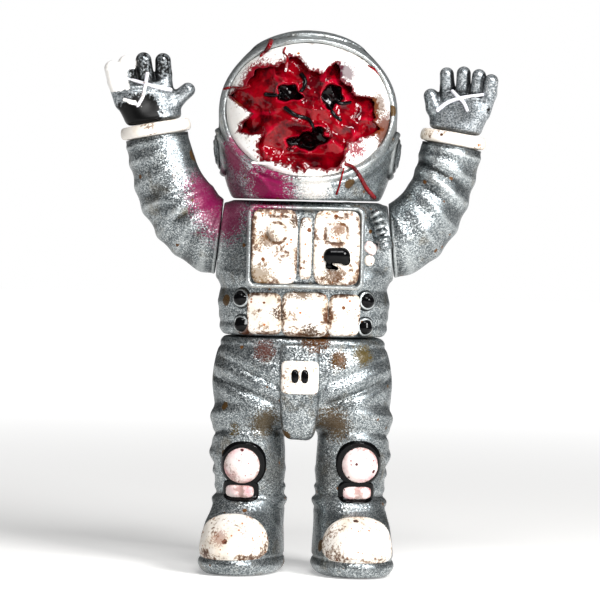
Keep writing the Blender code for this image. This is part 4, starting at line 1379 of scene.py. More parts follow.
@dataclass
class Torso(Bench):
    """The torso casting with its chest pack, belly panels, ports, hose and backpack."""

    body = Body.TORSO
    boss_radius: float = 9.6

    def __post_init__(self) -> None:
        """Reads the torso's lowest and highest level from the frame."""
        self.foot = self.stand.box("torso_shell")[0][2]
        neck = np.array(self.stand.joints["neck"]["pos_m"]) / MM
        self.top = neck[2] - SEAM_GAP
        self.column = Column(
            heights=(self.foot, 63.5, 70.0, 78.0, 86.0, 91.5, 94.4, self.top),
            half_x=(20.8, 21.6, 21.8, 22.2, 22.6, 22.0, 20.4, 18.6),
            half_y=(13.9, 14.6, 15.0, 15.2, 15.2, 14.8, 14.0, 13.2),
            x=(0.0,) * 8,
            y=(0.0,) * 8,
            power=2.45,
            edge=0.7,
        )

    def skin(self, points: Array) -> Array:
        """The casting: a barrel with a rolled hem and folds, and shoulder bosses cut flat."""
        x, y, z = points.T
        barrel = self.column(points) - 0.12 * ripple(points, 14.0, 11) * ease(z, 62.0, 66.0)
        barrel = barrel - 0.32 * bump(z, 62.6, 0.8) + 0.3 * bump(z, 64.6, 0.7)
        flank = ease(np.abs(x), 13.0, 18.0)
        barrel = barrel - flank * (0.5 * bump(z, 69.5, 1.6) - 0.35 * bump(z, 73.2, 1.0))
        barrel = barrel - flank * 0.5 * bump(z, 76.5 + 0.25 * (np.abs(x) - 18.0), 1.5)
        strap = bump(x * 0.8 + (z - 89.5) * 0.6, 12.5, 0.9) * ease(z, 82.0, 84.0) * ease(
            -y, 3.0, 8.0
        )
        barrel = barrel - 0.5 * strap * (x > 0)
        for side in Side:
            seam, out = self.stand.seam(side)
            boss = rod_field(
                points, seam - 8.0 * out, seam, self.boss_radius - 1.0, self.boss_radius
            )
            barrel = join(barrel, boss, 2.2)
            away = (points - seam) @ out
            barrel = cut(barrel, away + SEAM_GAP, 0.5)
        return cut(barrel, z - self.top, 0.5)

    def build_chest_pack(self) -> None:
        """The case with its raised border, two panels, a bar between them and a black knob."""
        low, high = self.stand.box("chest_pack_case")
        centre, half = (low + high) / 2, (high - low) / 2
        centre[1] = low[1] + 2.1
        half[1] = 2.1

        def case(points: Array) -> Array:
            block = rounded_box(points, centre, half, 1.7)
            flat = points - centre
            edge = rounded_box(
                flat * np.array([1.0, 0.0, 1.0]),
                (0.0, 0.0, 0.0),
                (half[0] - 1.0, 50.0, half[2] - 0.9),
                1.5,
            )
            tray = np.maximum(edge, flat[:, 1] + half[1] - 1.0)
            lip = 0.15 * bump(edge, 0.6, 0.35) * ease(-flat[:, 1], 1.0, 1.8)
            return cut(block - lip, -tray, 0.5)

        shape = level_surface(case, low - 1.2, high + 1.2, 0.24)
        self.hang("chest_pack_case", shape, "silver", "chest_pack_case")

        def tray_floor(points: Array) -> Array:
            return (low[1] + 1.0) - points[:, 1]

        marks = {Side.RIGHT: 5, Side.LEFT: 9}
        for side in Side:
            node = f"{side.word}_chest_panel"
            middle = self.stand.middle(node) + np.array([side.value * 0.15, 0.0, 0.0])

            def relief(a: Array, b: Array, s: int = side.value) -> Array:
                slot = -0.55 * bump(b, 7.6, 0.3) * ease(3.5 - np.abs(a), 0.0, 0.6)
                if s < 0:
                    ring = oval(a - 0.4, b - 3.5, 2.3, 2.3)
                    return slot + 0.5 * ease(-ring, -1.0, -0.8) - 0.4 * bump(ring, 1.14, 0.18)
                plate = oval(a + 0.2, b - 3.6, 2.5, 2.2, 5.0)
                return slot + 0.25 * ease(-plate, -1.0, -0.85) - 0.4 * bump(plate, 1.12, 0.16)

            panel = Pad(middle, (5.88, 9.5), 0.9, power=6.5, edge=0.13, dome=0.12, sink=0.5)
            made = panel.shape(tray_floor, relief, 60, 200)
            noise = ripple(made.points, 4.5, marks[side]) * ease(made.points[:, 2], 90.0, 84.0)
            made.paint["cavity"] = np.clip(
                made.paint["cavity"] + 0.28 * np.maximum(noise, 0.0), 0, 1
            )
            self.hang(node, made, "worn", node)
        middle = self.stand.middle("chest_bar")
        bar = Pad(middle, (1.6, 7.9), 1.15, power=5.0, edge=0.5, dome=0.1, sink=0.5)
        made = bar.shape(tray_floor, None, 24, 120)
        self.hang("chest_bar", made, "worn", "chest_bar")
        self.build_knob(low[1] + 0.15)

    def build_knob(self, level: float) -> None:
        """The black knob: a round head whose paint has run into a hooked drop on one side."""
        low, high = self.stand.box("chest_knob")
        parts = (
            ((6.7, 82.2), (9.4, 82.2), 1.9, 2.05),
            ((9.9, 81.8), (10.4, 80.9), 1.45, 1.2),
            ((6.0, 81.3), (6.2, 80.5), 1.1, 0.7),
            ((6.1, 79.5), (8.2, 78.9), 0.8, 0.4),
        )

        def head(points: Array) -> Array:
            flat = points * np.array([1.0, 1.35, 1.0])
            whole = np.full(len(points), 99.0)
            for start, end, first, last in parts:
                a = np.array([start[0], level * 1.35, start[1]])
                b = np.array([end[0], level * 1.35, end[1]])
                whole = join(whole, rod_field(flat, a, b, first, last), 0.5)
            return whole

        made = level_surface(head, (3.6, level - 2.2, 77.2), (12.6, level + 2.2, 86.0), 0.16)
        keep = np.minimum(made.points[:, 1], high[1] + 0.2)
        made.points[:, 1] = np.maximum(keep, low[1] - 0.3)
        self.hang("chest_knob", made, "black", "chest_knob")

    def build_belly(self) -> None:
        """Three white panels round the belly, and four black ports in silver sockets."""
        half = {
            "right_belly_panel": (4.5, 5.4),
            "belly_panel": (5.95, 5.8),
            "left_belly_panel": (4.1, 5.4),
        }
        for seed, (node, size) in enumerate(half.items()):
            middle = self.stand.middle(node)
            way = unit((middle[0] * 0.045, -1.0, 0.0))
            tall = 1.5 if node == "belly_panel" else 0.95
            panel = Pad(middle, size, tall, way=way, power=5.5, edge=0.13, dome=0.25, sink=0.7)
            made = panel.shape(self.skin, None, 40, 160)
            noise = ripple(made.points, 3.5, 21 + seed)
            made.paint["cavity"] = np.clip(
                made.paint["cavity"] * 1.2 + 0.3 * np.maximum(noise, 0.0), 0, 1
            )
            self.hang(node, made, "worn", node)
        for side in Side:
            for level in ("upper", "lower"):
                node = f"{side.word}_{level}_port"
                middle = self.stand.middle(node)
                out = unit(
                    (side.value * math.sin(math.radians(40)), -math.cos(math.radians(40)), 0.0)
                )
                socket = Pad(middle, (2.75, 2.75), 0.75, way=out, edge=0.35, dome=0.0)
                made = socket.shape(self.skin, None, 14, 64)
                self.hang(f"{node}_socket", made, "silver")
                cap = Pad(middle, (2.15, 2.15), 1.95, way=out, edge=0.8, dome=0.35)
                made = cap.shape(self.skin, None, 20, 64)
                self.hang(node, made, "black", node)

    def build_hose(self) -> None:
        """The corrugated hose on the left of the chest, its elbow and the valve under it."""
        route = (
            (17.2, -12.2, 94.0),
            (18.3, -12.8, 92.2),
            (19.1, -12.9, 90.0),
            (19.8, -12.5, 87.3),
        )

        def ribs(at: Array) -> Array:
            return 0.3 * np.cos(2 * math.pi * at / 1.55)

        def slit(a: Array, b: Array) -> Array:
            return -0.5 * bump(b, -0.1, 0.25) * ease(1.3 - np.abs(a), 0, 0.4)

        hose = Tube(route, 1.42, rings=ribs, steps=90, columns=28).shape()
        self.hang("shoulder_hose", hose, "silver", "shoulder_hose")
        foot = np.array([19.9, -12.3, 87.0])
        down = unit((0.25, 0.15, -1.0))
        profile = (
            *((0.0, -0.2), (1.7, -0.1), (2.05, 0.4), (2.0, 0.9)),
            *((1.7, 1.2), (1.85, 1.8), (1.6, 3.0), (0.0, 3.3)),
        )
        elbow = turned(foot, down, profile, 48)
        self.hang("hose_elbow", elbow, "silver", "hose_elbow")
        valve = Pad((17.4, -13.0, 84.2), (1.9, 1.5), 0.9, way=(0.45, -1, 0), power=3.5, roll=-28.0)
        made = valve.shape(self.skin, slit, 16, 64)
        self.hang("hose_valve", made, "pink")
        tap = Pad((17.1, -13.0, 81.0), (1.5, 1.4), 0.9, way=(0.45, -1, 0), power=2.4)
        self.hang("hose_tap", tap.shape(self.skin, None, 14, 48), "worn")

    def build_backpack(self) -> None:
        """The pack on the back: a rounded case with a lid seam, ribs and two bottles' bulges."""
        low, high = self.stand.box("backpack")
        centre, half = (low + high) / 2, (high - low) / 2

        def case(points: Array) -> Array:
            block = rounded_box(points, centre + [0.0, -1.5, 0.0], half + [0.0, 1.2, 0.0], 2.6)
            x, y, z = (points - centre).T
            rear = ease(y, half[1] - 3.0, half[1] - 1.2)
            seam = oval(x, z, half[0] - 2.6, half[2] - 2.8, 5.0)
            lid = 0.35 * bump((seam - 1.0) * half[0], 0.0, 0.4) * rear
            ribs = sum(0.3 * bump(z, level, 0.55) for level in (-8.2, -6.4, -4.6)) * rear * (
                np.abs(x) < 8.5
            )
            upright = ease(z, -2.8, -1.2) * ease(-z, -10.0, -8.0)
            bottles = 0.5 * bump(np.abs(x), 5.2, 2.6) * upright * rear
            girth = 0.3 * bump(z, 2.2, 0.5) * ease(np.abs(x), 2.0, 3.0) * rear
            waist = 0.45 * bump(z, -1.6, 0.6) * ease(np.abs(x), half[0] - 2.0, half[0] - 0.5)
            return block + lid - ribs - bottles * 0.8 + girth + waist

        shape = level_surface(case, low - [1.5, 3.0, 1.5], high + [1.5, 1.5, 1.5], 0.34)
        self.hang("backpack", shape, "silver", "backpack")
        for number, x in enumerate((-3.1, 0.0, 3.1), 1):
            button = Pad((x, 23.0, 71.4), (0.95, 0.95), 0.5, way=(0, 1, 0), edge=0.5, dome=0.3)
            made = button.shape(case, None, 10, 40)
            self.hang(f"backpack_button_{number}", made, "black")

    def build(self) -> None:
        """Makes the casting and all that lies on it."""
        skin = level_surface(
            self.skin, (-25.0, -18.0, self.foot - 1.0), (25.0, 18.0, self.top + 1.2), 0.4
        )
        self.hang("torso_casting", skin, "silver", "torso_shell")
        self.build_chest_pack()
        self.build_belly()
        self.build_hose()
        self.build_backpack()


# ---------------------------------------------------------------- head


def wrapped(rings: Array, paint: dict[str, Array]) -> Shape:
    """Closes a grid both ways: each ring is closed, and the last ring meets the first."""
    rows, columns = rings.shape[:2]
    index = np.arange(rows * columns).reshape(rows, columns)
    below, beside = np.roll(index, -1, axis=0), np.roll(index, -1, axis=1)
    corner = np.roll(below, -1, axis=1)
    quads = np.stack([index, beside, corner, below], axis=-1).reshape(-1, 4)
    values = {name: grid.ravel() for name, grid in paint.items()}
    return Shape(rings.reshape(-1, 3), quads, paint=values).turned_out()


@dataclass
class Head(Bench):
    """The helmet with its broken visor, and the mass of red resin that fills it."""

    body = Body.HEAD
    radius: float = 23.1
    widest: float = 117.6
    crown: float = 140.0
    drop: float = 31.4
    opening: tuple[float, float, float] = (21.3, 17.3, 119.2)
    break_middle: tuple[float, float] = (0.2, 118.6)
    break_outline: tuple[tuple[float, float], ...] = (
        (19, 10.2), (28, 15.0), (43, 11.0), (58, 12.6), (70, 12.2), (77, 17.0),
        (97, 16.6), (102, 19.0), (115, 15.0), (128, 12.3), (148, 15.8), (163, 15.2),
        (172, 14.0), (191, 14.8), (205, 14.2), (222, 17.0), (234, 15.5), (243, 13.3),
        (253, 18.2), (267, 14.4), (281, 20.4), (291, 17.6), (310, 17.0), (324, 13.8),
        (345, 14.8), (358, 10.5),
    )
    pits: tuple[tuple[float, float, float, float, float], ...] = (
        (-4.6, 123.4, 3.0, 2.1, -8.0),
        (6.2, 122.6, 2.7, 3.0, 30.0),
        (0.4, 111.6, 5.2, 2.5, 12.0),
    )

    def level_radius(self, z: Array) -> Array:
        """The helmet's radius at a height."""
        up = np.clip((z - self.widest) / (self.crown - self.widest), 0.0, 1.0)
        down = np.clip((self.widest - z) / self.drop, 0.0, 1.0)
        over = np.sqrt(np.clip(1 - up**2, 0.0, 1.0))
        return self.radius * np.where(z > self.widest, over, (1 - down**2.5) ** 0.4)

    def ball(self, points: Array) -> Array:
        """The distance to the helmet's plain form."""
        x, y, z = points.T
        across, rise = np.hypot(x, y) / self.radius, z - self.widest
        upper = np.sqrt(across**2 + (rise / (self.crown - self.widest)) ** 2)
        lower = (across**2.5 + np.abs(rise / self.drop) ** 2.5) ** 0.4
        share = np.maximum(np.where(rise > 0, upper, lower), 1e-3)
        reach = np.sqrt(x**2 + y**2 + rise**2)
        return reach - reach / share

    def round_opening(self, points: Array) -> Array:
        """The distance to the opening's outline across Y: negative inside of it."""
        half_x, half_z, z = self.opening
        return (oval(points[:, 0], points[:, 2] - z, half_x, half_z, OPENING_POWER) - 1) * 0.5 * (
            half_x + half_z
        )

    def skin(self, points: Array) -> Array:
        """The helmet: a double bead round the opening, jaw ridges, a flat foot and a pocket."""
        x, y, z = points.T
        around = self.round_opening(points)
        front = ease(-y, 0.0, 5.0)
        bead = 0.85 * bump(around, 0.9, 0.75) + 0.6 * bump(around, 2.9, 0.8)
        bead = bead - 0.25 * bump(around, 1.95, 0.35)
        jaw_line = 97.8 + (np.abs(x) - 8.0) * 0.92
        jaw = 0.75 * bump(z, jaw_line, 1.0) * ease(np.abs(x), 8.0, 12.0) * ease(-y, 2.0, 7.0)
        chin = 0.4 * bump(z, 98.0, 1.1) * ease(-y, 6.0, 12.0) * ease(12.0 - np.abs(x), 0.0, 4.0)
        seam = 0.25 * bump(y, 1.5, 0.35) * ease(z, 112.0, 120.0)
        whole = self.ball(points) - front * bead * ease(z, 97.0, 103.0) - jaw - chin + seam
        pocket = np.maximum(around + 0.15, y + 5.0)
        whole = cut(whole, -pocket, 0.4)
        foot = self.stand.box("helmet_shell")[0][2]
        return cut(whole - 0.07 * ripple(points, 12.0, 31), foot - z, 0.8)

    def on_visor(self, x: Array, z: Array, under: float) -> Array:
        """The Y of the helmet's form at (x, z), moved in by `under` along Y."""
        return -np.sqrt(np.clip(self.level_radius(z) ** 2 - x**2, 0.5, None)) + under

    def break_reach(self, angle: Array) -> Array:
        """How far the hole reaches from its middle at a clock angle, with a fine torn edge."""
        clock, reach = np.array(self.break_outline).T
        clock, reach = np.concatenate([clock, [clock[0] + 360]]), np.concatenate(
            [reach, [reach[0]]]
        )
        turn = np.degrees(angle)
        turn = np.where(turn < clock[0], turn + 360, turn)
        rays = np.stack([np.sin(angle), np.cos(angle), angle * 0], axis=-1) * 16
        return np.interp(turn, clock, reach) + 0.3 * ripple(rays, 3.4, 41) + 0.1 * ripple(
            rays, 1.3, 42
        )

    def build_visor(self) -> None:
        """The white visor: a curved plate with a torn hole whose edge turns inwards."""
        columns, rows = 720, 34
        angle = 2 * math.pi * np.arange(columns) / columns
        inner = self.break_reach(angle)
        cx, cz = self.break_middle
        half_x, half_z, oz = self.opening
        way_x, way_z = np.sin(angle), np.cos(angle)
        outer = np.full(columns, 8.0)
        for _ in range(30):
            x, z = cx + outer * way_x, cz + outer * way_z - oz
            share = oval(x, z, half_x - 0.25, half_z - 0.25, OPENING_POWER)
            outer = outer / share
        t = np.linspace(0, 1, rows)[:, None]
        spread = inner + (np.maximum(outer, inner + 0.4) - inner) * t
        x, z = cx + spread * way_x, cz + spread * way_z
        torn = (1 - ease(spread - inner, 0.0, 1.5)) * 0.55
        rounded = 0.5 * (1 - ease(outer - spread, 0.0, 1.0))
        wave = 0.1 * sheet_ripple(x, z, 7.0, 43)
        front = self.on_visor(x, z, 0.35) + torn + rounded + wave
        shell = np.stack([x, front, z], axis=-1)
        back = np.stack([x * 0.985, front + 1.15, z], axis=-1)[::-1]
        wash = 0.9 * (1 - ease(spread - inner, 0.0, 0.9)) + 0.35 * (
            1 - ease(outer - spread, 0.0, 1.4)
        )
        grid = np.concatenate([shell, back])
        paint = {
            "cavity": np.vstack([wash, wash[::-1]]),
            "ridge": np.zeros(grid.shape[:2]),
            "torn": np.vstack([1 - ease(spread - inner, -0.2, 2.1), np.ones_like(wash)]),
        }
        self.hang("visor", wrapped(grid, paint), "visor", "visor")

    def face_front(self, x: Array, z: Array) -> tuple[Array, Array]:
        """The red mass: the Y of its surface at (x, z), and how deep in a pit each point lies.

        The coarse lumps are folded noise, so they have crests as sharp as pulled resin.
        """
        coarse = 1 - np.abs(sheet_ripple(x, z, 17.0, 51))
        fine, tiny = sheet_ripple(x, z, 7.5, 52), sheet_ripple(x, z, 2.6, 53)
        lumps = 2.1 * coarse + 0.7 * fine + 0.16 * tiny
        deep = np.zeros_like(x)
        for px, pz, half_x, half_z, roll in self.pits:
            c, s = math.cos(math.radians(roll)), math.sin(math.radians(roll))
            u, v = (x - px) * c + (z - pz) * s, (z - pz) * c - (x - px) * s
            frayed = oval(u, v, half_x, half_z, 2.2) + 0.22 * sheet_ripple(x, z, 3.2, 54)
            deep = np.maximum(deep, 1 - ease(frayed, 0.75, 1.12))
        nose = 1.6 * bump(np.hypot((x - 1.0) / 1.5, (z - 118.0) / 3.6), 0.0, 1.0)
        brow = 1.1 * bump(z, 126.6, 1.5) * bump(np.abs(x - 0.6), 6.0, 4.5)
        lip = 1.0 * bump(np.abs(z - 111.4), 3.4, 1.0) * bump(x, 0.5, 6.0)
        raised = lumps + nose + brow + lip
        base = self.on_visor(x * 0.93, (z - 118.6) * 0.93 + 118.6, 5.0)
        return base - raised + 3.2 * deep, deep

    def build_face(self) -> None:
        """The red mass as a dome of rings that ends behind the visor."""
        rows, columns = 110, 400
        angle = 2 * math.pi * np.arange(columns) / columns
        cx, cz = self.break_middle
        edge = np.minimum(self.break_reach(angle) + 2.6, 20.3)
        ring = oval(np.sin(angle), np.cos(angle), 20.4, 16.4, OPENING_POWER)
        edge = np.minimum(edge, 1 / ring)
        share = np.arange(1, rows + 1)[:, None] / rows
        x, z = cx + share * edge * np.sin(angle), cz + share * edge * np.cos(angle)
        front, deep = self.face_front(x, z)
        front = np.maximum(front, self.on_visor(x, z, 1.7))
        close = ease(share * edge, edge - 3.2, edge)
        limit = self.on_visor(x, z, 1.75)
        front = front * (1 - close) + np.maximum(front, limit) * close
        skin = np.stack([x, front, z], axis=-1)
        back = np.stack([x, np.maximum(front + 2.5, -6.2), z], axis=-1)[::-1]
        beside = ((3, 0), (-3, 0), (6, 1), (-6, 1))
        mean = sum(np.roll(front, steps, axis) for steps, axis in beside) / len(beside)
        # painted highlight on the crests and painted shade in the grooves, carried to the red resin
        # as ridge and cavity
        crest_highlight = np.clip((mean - front) * 2.2, 0, 1)
        groove = np.clip((front - mean) * 1.6, 0, 1)
        paint = {
            "cavity": np.vstack([np.maximum(deep, groove * 0.75), np.ones_like(deep)]),
            "ridge": np.vstack([crest_highlight, np.zeros_like(crest_highlight)]),
        }
        shape = poled(np.concatenate([skin, back]), skin[0].mean(0), back[-1].mean(0), paint)
        self.hang("face_casting", shape, "red", "face_casting")

    def strand(
        self,
        name: str,
        spots: Sequence[tuple[float, float]],
        radius: float,
        end: float,
        finish: str,
    ) -> None:
        """A thread of paint that lies over the helmet and bridges the hole.

        Args:
            name: the piece's name.
            spots: (x, z) places that it runs through.
            radius: its radius at the start.
            end: its radius at the end.
            finish: the short name of its paint.
        """
        x, z = self.dense(spots)
        y = land(self.outer, np.stack([x, x * 0 - 10.0, z], -1), np.array([0.0, -1.0, 0.0]))[:, 1]
        tube = Tube(np.stack([x, y - radius * 0.35, z], -1), radius, end, steps=90, columns=12)
        self.hang(name, tube.shape(), finish)

    def dense(self, spots: Sequence[tuple[float, float]]) -> tuple[Array, Array]:
        """A smooth run of 26 places through a few."""
        x, z = np.array(spots).T
        at, knots = np.linspace(0, len(x) - 1, 26), np.arange(len(x))
        return glide(at, knots, x), glide(at, knots, z)

    def outer(self, points: Array) -> Array:
        """What threads lie on: the helmet with its opening closed by the visor's plain form."""
        return np.minimum(self.skin(points), self.ball(points) + 0.3)

    def build_strands(self) -> None:
        """Red runs down the jaw and over the rim, black threads in the face, and white ones."""
        red = (
            (
                "red_run_long",
                ((9.5, 105.6), (11.8, 104.6), (13.6, 102.3), (15.4, 99.4), (17.6, 97.0)),
                0.5,
                0.62,
            ),
            ("red_run_short", ((9.4, 104.6), (8.9, 102.4), (8.3, 99.8), (7.6, 97.6)), 0.2, 0.32),
            (
                "red_run_brow",
                ((-12.6, 132.4), (-11.2, 134.0), (-10.2, 135.6), (-9.9, 137.2)),
                0.5,
                0.75,
            ),
            (
                "red_run_side",
                ((-21.9, 124.1), (-19.6, 124.6), (-17.0, 124.3), (-14.8, 124.9)),
                0.3,
                0.45,
            ),
            (
                "red_run_temple",
                ((-6.2, 135.0), (-6.6, 133.6), (-5.6, 132.2), (-5.9, 130.2)),
                0.3,
                0.4,
            ),
            ("red_run_right", ((14.9, 130.9), (16.6, 130.0), (18.0, 128.7)), 0.35, 0.3),
        )
        for name, spots, radius, end in red:
            self.strand(name, spots, radius, end, "red")
        white = (
            ("white_thread_chin", ((-14.2, 105.3), (-11.5, 105.2), (-8.4, 105.1)), 0.3, 0.5),
            ("white_thread_brow", ((-6.4, 132.9), (-5.7, 131.0), (-6.0, 128.6)), 0.35, 0.3),
        )
        for name, spots, radius, end in white:
            self.strand(name, spots, radius, end, "visor")
        black = (
            ((-11.4, 122.9), (-8.6, 122.6), (-5.6, 122.9)),
            ((-6.2, 119.6), (-3.2, 117.6), (-0.2, 116.8), (1.0, 115.4), (1.5, 113.4)),
            ((5.0, 120.6), (6.6, 118.0), (8.6, 116.4)),
            ((6.2, 121.2), (8.6, 120.9), (11.0, 121.3)),
            ((-2.2, 128.4), (-1.0, 126.6), (-1.4, 124.4), (-3.2, 122.6)),
        )
        for number, spots in enumerate(black, 1):
            x, z = self.dense(spots)
            y = self.face_front(x, z)[0] - 0.1
            y = np.convolve(np.pad(y, 2, "edge"), np.ones(5) / 5, "valid")
            tube = Tube(np.stack([x, y, z], -1), 0.6, 0.4, steps=80, columns=12)
            self.hang(f"black_thread_{number}", tube.shape(), "black")

    def build_ears(self) -> None:
        """The ear cups: angular raised plates with a groove and a round boss."""
        for side in Side:
            node = f"{side.word}_ear_cup"
            middle = self.stand.middle(node)
            middle[1] -= 1.5
            way = unit((side.value, -0.18, 0.0))

            def relief(a: Array, b: Array) -> Array:
                step = oval(a, b, 6.8, 6.3, 3.0)
                boss = oval(a, b, 3.2, 3.2)
                raised = 0.35 * ease(-boss, -1.05, -0.9) - 0.3 * bump(boss, 0.55, 0.1)
                return raised - 0.45 * bump(step, 0.74, 0.06)

            plate = Pad(
                middle, (6.8, 6.3), 1.25, way=way, power=3.0, edge=0.14, dome=0.25, sink=1.2
            )
            made = plate.shape(self.ball, relief, 60, 160)
            self.hang(node, made, "silver", node)

    def build(self) -> None:
        """Makes the helmet and all that belongs to it."""
        shell = level_surface(self.skin, (-25.5, -25.5, 94.8), (25.5, 25.5, 142.0), 0.4)
        self.hang("helmet_casting", shell, "silver", "helmet_shell")
        self.build_visor()
        self.build_face()
        self.build_strands()
        self.build_ears()


# ---------------------------------------------------------------- arms


@dataclass(frozen=True)
class ArmForm:
    """What differs between the arms."""

    wrist: tuple[float, float, float]
    lean: float
    radii: tuple[float, ...]
    cuff_radius: float
    hand_turn: float
    hand_size: float
    finger_radius: float
    thumb_radius: float
    thumb: tuple[tuple[float, float, float], ...]
    folds: tuple[Fold, ...]


ARM_FORMS = {
    Side.RIGHT: ArmForm(
        wrist=(-39.0, 0.0, 111.7),
        lean=10.5,
        radii=(9.2, 9.4, 9.5, 9.1, 8.6, 8.3, 8.1),
        cuff_radius=9.1,
        hand_turn=8.0,
        hand_size=1.0,
        finger_radius=2.12,
        thumb_radius=2.1,
        thumb=((-3.0, 3.2, 0.6), (-6.4, 4.8, 1.2), (-9.7, 6.8, 1.8)),
        folds=(
            Fold(3.2, 0.5, 1.4, 1.4, 180.0, 0.0, 0.6),
            Fold(8.2, 0.6, 1.5, 2.2, 180.0, 0.0, 0.8),
            Fold(13.2, 0.65, 1.5, 2.4, 180.0, 20.0, 0.8),
            Fold(18.0, 0.55, 1.4, 1.8, 180.0, 0.0, 0.9),
            Fold(23.0, 0.55, 1.5, 1.4, 180.0, -20.0, 0.8),
            Fold(27.6, 0.5, 1.3, 0.8, 180.0, 0.0, 0.9),
            Fold(31.6, 0.4, 1.2, 0.4, 180.0, 0.0, 0.9),
            Fold(10.5, -0.5, 1.3, -1.8, 180.0, 90.0, 1.4),
            Fold(15.2, 0.45, 1.2, -2.4, 180.0, 110.0, 1.5),
        ),
    ),
    Side.LEFT: ArmForm(
        wrist=(37.4, 0.0, 110.9),
        lean=9.0,
        radii=(9.2, 9.2, 8.9, 8.4, 8.0, 7.8, 7.7),
        cuff_radius=8.5,
        hand_turn=24.0,
        hand_size=0.94,
        finger_radius=2.02,
        thumb_radius=2.25,
        thumb=((-4.2, 2.8, 0.8), (-6.4, 5.4, 1.8), (-7.8, 8.6, 2.4)),
        folds=(
            Fold(3.6, 0.5, 1.4, 1.2, 180.0, 0.0, 0.6),
            Fold(9.0, 0.55, 1.5, 2.0, 180.0, 0.0, 0.7),
            Fold(14.6, 0.5, 1.5, 2.2, 180.0, 30.0, 0.8),
            Fold(20.2, 0.6, 1.6, 2.2, 180.0, 60.0, 0.7),
            Fold(25.2, 0.55, 1.5, 1.6, 180.0, 100.0, 0.7),
            Fold(29.8, 0.45, 1.3, 0.8, 180.0, 90.0, 0.6),
            Fold(17.4, -0.4, 1.7, 2.2, 180.0, 90.0, 1.2),
            Fold(22.8, -0.4, 1.6, 1.8, 180.0, 80.0, 1.2),
        ),
    ),
}


@dataclass(frozen=True)
class Finger:
    """One finger: where it leaves the palm, its length and its lean, in degrees."""

    name: str
    across: float
    length: float
    lean: float


